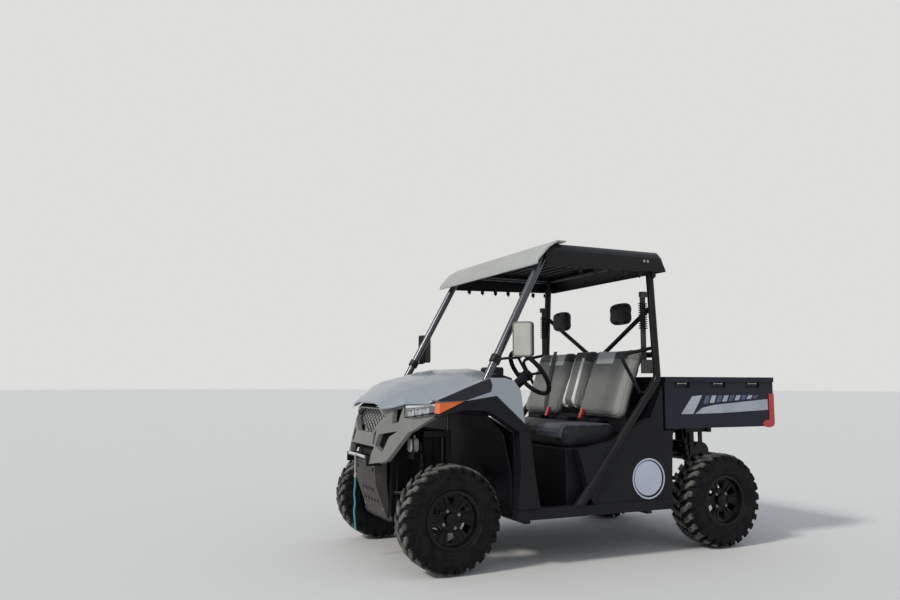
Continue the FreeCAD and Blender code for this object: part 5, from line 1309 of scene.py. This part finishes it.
def back_colours(tree, place, colour):
    """Grey backs with a dark band at the top, pale shoulder patches and two white stripes."""
    tilt = math.radians(BACK_TILT)
    parts = add(tree, "SeparateXYZ", {"Vector": place})
    from_foot = [add(tree, "Math", (parts[k], foot * MM), operation="SUBTRACT")[0]
                 for k, foot in zip((0, 2), BACK_FOOT)]
    rise, depth = (
        add(tree, "Math", [add(tree, "Math", part, **MULTIPLY)[0]
                           for part in zip(from_foot, slope)], operation="ADD")[0]
        for slope in ((-math.sin(tilt), math.cos(tilt)), (math.cos(tilt), math.sin(tilt))))
    side = add(tree, "Math", (parts[1],), operation="ABSOLUTE")[0]
    front, band, outer = (
        add(tree, "MapRange", {"Value": value, "From Min": (place_mm - 2) * MM,
                               "From Max": (place_mm + 2) * MM}, **SMOOTH)[0]
        for value, place_mm in ((depth, BACK_FACE), (rise, BAND_Z), (side, BOLSTER_Y)))
    # share of each colour over the last one
    layers = [(band, "#3c3c3d"), (add(tree, "Math", (outer, 0.55), **MULTIPLY)[0], "#a2a19c")]
    for low, high, code in PATCHES:
        patch = (within(tree, side, *PATCH_SIDES), within(tree, rise, low, high))
        layers.append((add(tree, "Math", patch, **MULTIPLY)[0], code))
    from_bend = add(tree, "Math", (rise, STRIPE_BEND * MM), operation="SUBTRACT")[0]
    slanted = add(tree, "Math", (from_bend, STRIPE_SLANT, parts[1]), operation="MULTIPLY_ADD")[0]
    for middle in STRIPE_PLACES:
        stripe = (within(tree, slanted, middle - STRIPE_HALF, middle + STRIPE_HALF),
                  within(tree, rise, *STRIPE_RISE))
        layers.append((add(tree, "Math", stripe, **MULTIPLY)[0], "#f4f5f0"))
    rear = add(tree, "Mix", {SHARE: 0.75, FIRST: colour, SECOND: linear("#2a2a2c")},
               **COLOURS)[MIXED]
    for share, code in layers:
        colour = add(tree, "Mix", {SHARE: share, FIRST: colour, SECOND: linear(code)},
                     **COLOURS)[MIXED]
    return add(tree, "Mix", {SHARE: front, FIRST: rear, SECOND: colour}, **COLOURS)[MIXED]


def cushion_colours(tree, place, colour):
    """Charcoal with a paler panel over each seat's middle."""
    parts = add(tree, "SeparateXYZ", {"Vector": place})
    side = add(tree, "Math", (parts[1],), operation="ABSOLUTE")[0]
    top = add(tree, "MapRange", {"Value": parts[2], "From Min": PANEL_Z * MM,
                                 "From Max": (PANEL_Z + 3) * MM}, **SMOOTH)
    share = add(tree, "Math", (within(tree, side, *PANEL_SIDES), top[0]), **MULTIPLY)[0]
    return add(tree, "Mix", {SHARE: share, FIRST: colour, SECOND: linear("#5c606b")},
               **COLOURS)[MIXED]


back_vinyl = leathery("back_vinyl", "#818380", "#797b78", back_colours)
cushion_vinyl = leathery("cushion_vinyl", "#1a1b20", "#212227", cushion_colours)
headrest_vinyl = leathery("headrest_vinyl", "#121317", "#18191d")

# the padding's simulation
AIR_PRESSURE = 3.0
CLOTH_QUALITY = 3
CLOTH_STIFFNESS = 12
CLOTH_FRAMES = 20
# a seam gives its depth, its width and how far away it is
NO_SEAM = (0, 1, 99)


def blown_up(piece, cap):
    """The mesh of a padded piece after its simulation, moved no further than a limit in mm."""
    rest = [vert.co.copy() for vert in piece.data.vertices]
    cloth = piece.modifiers.new("cloth", "CLOTH")
    cloth.settings.use_pressure = True
    cloth.settings.uniform_pressure_force = AIR_PRESSURE
    cloth.settings.effector_weights.gravity = 0
    cloth.settings.quality = CLOTH_QUALITY
    cloth.settings.tension_stiffness = CLOTH_STIFFNESS
    cloth.settings.compression_stiffness = CLOTH_STIFFNESS
    cloth.collision_settings.use_collision = False
    cloth.point_cache.frame_start = 1
    cloth.point_cache.frame_end = CLOTH_FRAMES
    for number in range(1, CLOTH_FRAMES + 1):
        bpy.context.scene.frame_set(number)
    blown = as_drawn(piece)
    piece.modifiers.clear()
    for vert, start in zip(blown.vertices, rest):
        move = vert.co - start
        if move.length > cap * MM:
            vert.co = start + move.normalized() * cap * MM
    return blown


def swollen(name, form, finish, node, cap, voxel, seams):
    """A padded piece: remeshed, blown up by simulation under a limit, then sewn along its seams."""
    mesh = bpy.data.meshes.new(name)
    form.to_mesh(mesh)
    form.free()
    piece = placed(name, mesh)
    bpy.context.view_layer.objects.active = piece
    remesh = piece.modifiers.new("remesh", "REMESH")
    remesh.mode = "VOXEL"
    remesh.voxel_size = voxel * MM
    still = as_drawn(piece)
    piece.modifiers.clear()
    piece.data = still
    piece.data = blown_up(piece, cap)
    bpy.context.scene.frame_set(1)
    shape = bmesh.new()
    shape.from_mesh(piece.data)
    bmesh.ops.smooth_vert(shape, verts=shape.verts, factor=0.5, use_axis_x=True, use_axis_y=True,
                          use_axis_z=True)
    shape.normal_update()
    for vert in shape.verts:
        for seam in seams:
            depth, width, away = seam(vert.co / MM)
            if abs(away) < 3 * width:
                vert.co -= vert.normal * depth * MM * math.exp(-(away / width) ** 2)
    shape.to_mesh(piece.data)
    shape.free()
    for polygon in piece.data.polygons:
        polygon.use_smooth = True
    piece.data.materials.clear()
    piece.data.materials.append(finish)
    smooth = piece.modifiers.new("smooth", "SUBSURF")
    smooth.levels = 1
    smooth.render_levels = 1
    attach(piece, "chassis")
    if node:
        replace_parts(piece, node)


def seat_cushion():
    """The bench's cushion, with a seam round its top and two between the seats."""
    low, high = (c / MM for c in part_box("seat_cushion"))
    form = soft_block(low + Vector((14, 10, 2)), high - Vector((12, 10, 12)), 30, 80, 2)

    def top_seam(p):
        return 5, 7, p.z - (high.z - 34)

    def split(p):
        return (7, 7, abs(p.y) - 127) if p.z > low.z + 60 else NO_SEAM

    def panel_edges(p):
        near = min(abs(abs(p.y) - edge) for edge in PANEL_SIDES)
        return (3, 5, near) if p.z > high.z - 80 else NO_SEAM

    swollen("bench_cushion", form, cushion_vinyl, "seat_cushion", 16, 9,
            (top_seam, split, panel_edges))


def back_frame():
    """The matrix from a back's own axes (depth, across, height) to the vehicle's."""
    return (Matrix.Translation(Vector((BACK_FOOT[0], 0, BACK_FOOT[1])) * MM)
            @ Matrix.Rotation(math.radians(-BACK_TILT), 4, "Y"))


def seat_backs():
    """Three backrests with sewn side bolsters and bands."""
    matrix = back_frame()
    turn_back = matrix.inverted()

    def own(p):
        """The same place in the back's own axes."""
        return turn_back @ (p * MM) / MM

    # name, its two edges across, height of its foot, radius of its edges along depth, node
    for name, low_y, high_y, foot, turn, node in (
            ("driver_back", 130, 630, 6, 62, "seat_backs"),
            ("middle_back", -124, 124, 70, 30, None),
            ("passenger_back", -630, -130, 6, 62, None)):
        form = soft_block((-BACK_DEPTH + 8, low_y + 6, foot), (-10, high_y - 6, BACK_HEIGHT - 6),
                          26, turn)
        bmesh.ops.transform(form, matrix=matrix, verts=form.verts)

        def band(p):
            return (4, 6, own(p).z - BAND_Z) if own(p).x > -BACK_DEPTH / 2 else NO_SEAM

        def bolsters(p):
            near = min(own(p).y - low_y, high_y - own(p).y)
            wide = high_y - low_y > 300
            return (4, 6, near - 68) if wide and own(p).x > -BACK_DEPTH / 2 else NO_SEAM

        def rim(p):
            return 4, 6, own(p).x + 26

        swollen(name, form, back_vinyl, node, 15, 8, (band, bolsters, rim))


HEADREST_Y = 378
HEADREST_HALF = 112.5


def headrests():
    """Two headrests with rounded corners and a seam round them."""
    low, high = (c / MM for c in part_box("headrests"))

    def rim(p):
        return 4, 5, p.x - (high.x - 24)

    for side, way in SIDES:
        near, far = (way * HEADREST_Y - HEADREST_HALF, way * HEADREST_Y + HEADREST_HALF)
        form = soft_block((low.x + 10, near + 9, low.z + 9), (high.x - 10, far - 9, high.z - 9),
                          20, 44)
        swollen(side + "_headrest", form, headrest_vinyl, "headrests" if way > 0 else None, 12, 6,
                (rim,))


seat_cushion()
seat_backs()
headrests()

# Belts and what lies round the seats

# depth, place across and height of the lap belt in the back's own axes
LAP_BELT = [(9, -396, 505), (15, -383, 440), (17, -362, 330), (17, -336, 220), (14, -310, 120),
            (8, -290, 40)]


def belts():
    """Ribbed sleeves on the belts, two buckles and the belt that lies over the passenger's back."""
    sleeves = [((-392, 626, z), (-326, 641, z + 8)) for z in range(1470, 1636, 15)]
    pair("belt_sleeves", blocks(sleeves), soft_rubber, 2.5)
    form = blocks([((-2, y - 15, -20), (16, y + 15, 52)) for y in (-222, 222)])
    bmesh.ops.transform(form, matrix=back_frame(), verts=form.verts)
    single("belt_buckles", form, red_acrylic, 4)
    form = bmesh.new()
    swept(form, LAP_BELT, (0, 46, 0), 2.4)
    bmesh.ops.transform(form, matrix=back_frame(), verts=form.verts)
    single("lap_belt", form, belt_webbing, smooth_to=60)


def seat_shell():
    """Black moulded shell behind the cushion and under the backrests."""
    shell = [((-216, -628, 700), (-196, 628, 884))]
    shell += [((-196, y - 60, 842), (-120, y + 60, 862)) for y in (-378, 0, 378)]
    single("seat_shell", blocks(shell), black_polypropylene, 5)


belts()
seat_shell()

# Floor and light

PALE_FLOOR = "#e6e6e4"
BACKGROUND = "#dededc"
SKY = "#e6ecf5"
SKY_SHARE = 0.56
FLOOR_RADIUS = 120
SUN_STRENGTH = 1.55
SUN_SIZE = 9
SUN_COLOUR = "#fffaf3"
SUN_FROM = Vector((0.92, 0.22, 0.78))


def studio():
    """Pale floor, one soft sun and a pale surround that lights evenly."""
    form = bmesh.new()
    bmesh.ops.create_circle(form, cap_ends=True, segments=96, radius=FLOOR_RADIUS)
    mesh = bpy.data.meshes.new("floor")
    form.to_mesh(mesh)
    form.free()
    floor = placed("floor", mesh)
    mesh.materials.append(surface("studio_floor", PALE_FLOOR, PALE_FLOOR, 0.9, cloud_mm=4000,
                                  grain_mm=30, relief=0.02))
    world = bpy.data.worlds.new("surround")
    world.use_nodes = True
    bpy.context.scene.world = world
    tree = world.node_tree
    tree.nodes.clear()
    rays = add(tree, "LightPath")
    seen = rays["Is Camera Ray"]
    for other in ("Is Glossy Ray", "Is Transmission Ray"):
        seen = add(tree, "Math", (seen, rays[other]), operation="MAXIMUM")[0]
    shown = add(tree, "Background", {"Color": linear(BACKGROUND), "Strength": 1.0})
    lit = add(tree, "Background", {"Color": linear(SKY), "Strength": SKY_SHARE})
    blend = add(tree, "MixShader", (seen, lit[0], shown[0]))
    add(tree, "OutputWorld", {"Surface": blend[0]})
    data = bpy.data.lights.new("sun", "SUN")
    data.energy = SUN_STRENGTH
    data.angle = math.radians(SUN_SIZE)
    data.color = linear(SUN_COLOUR)[:3]
    lamp = placed("sun", data)
    lamp.rotation_mode = "QUATERNION"
    lamp.rotation_quaternion = (-SUN_FROM).to_track_quat("-Z", "Y")


studio()
bpy.context.scene.view_settings.view_transform = "Standard"
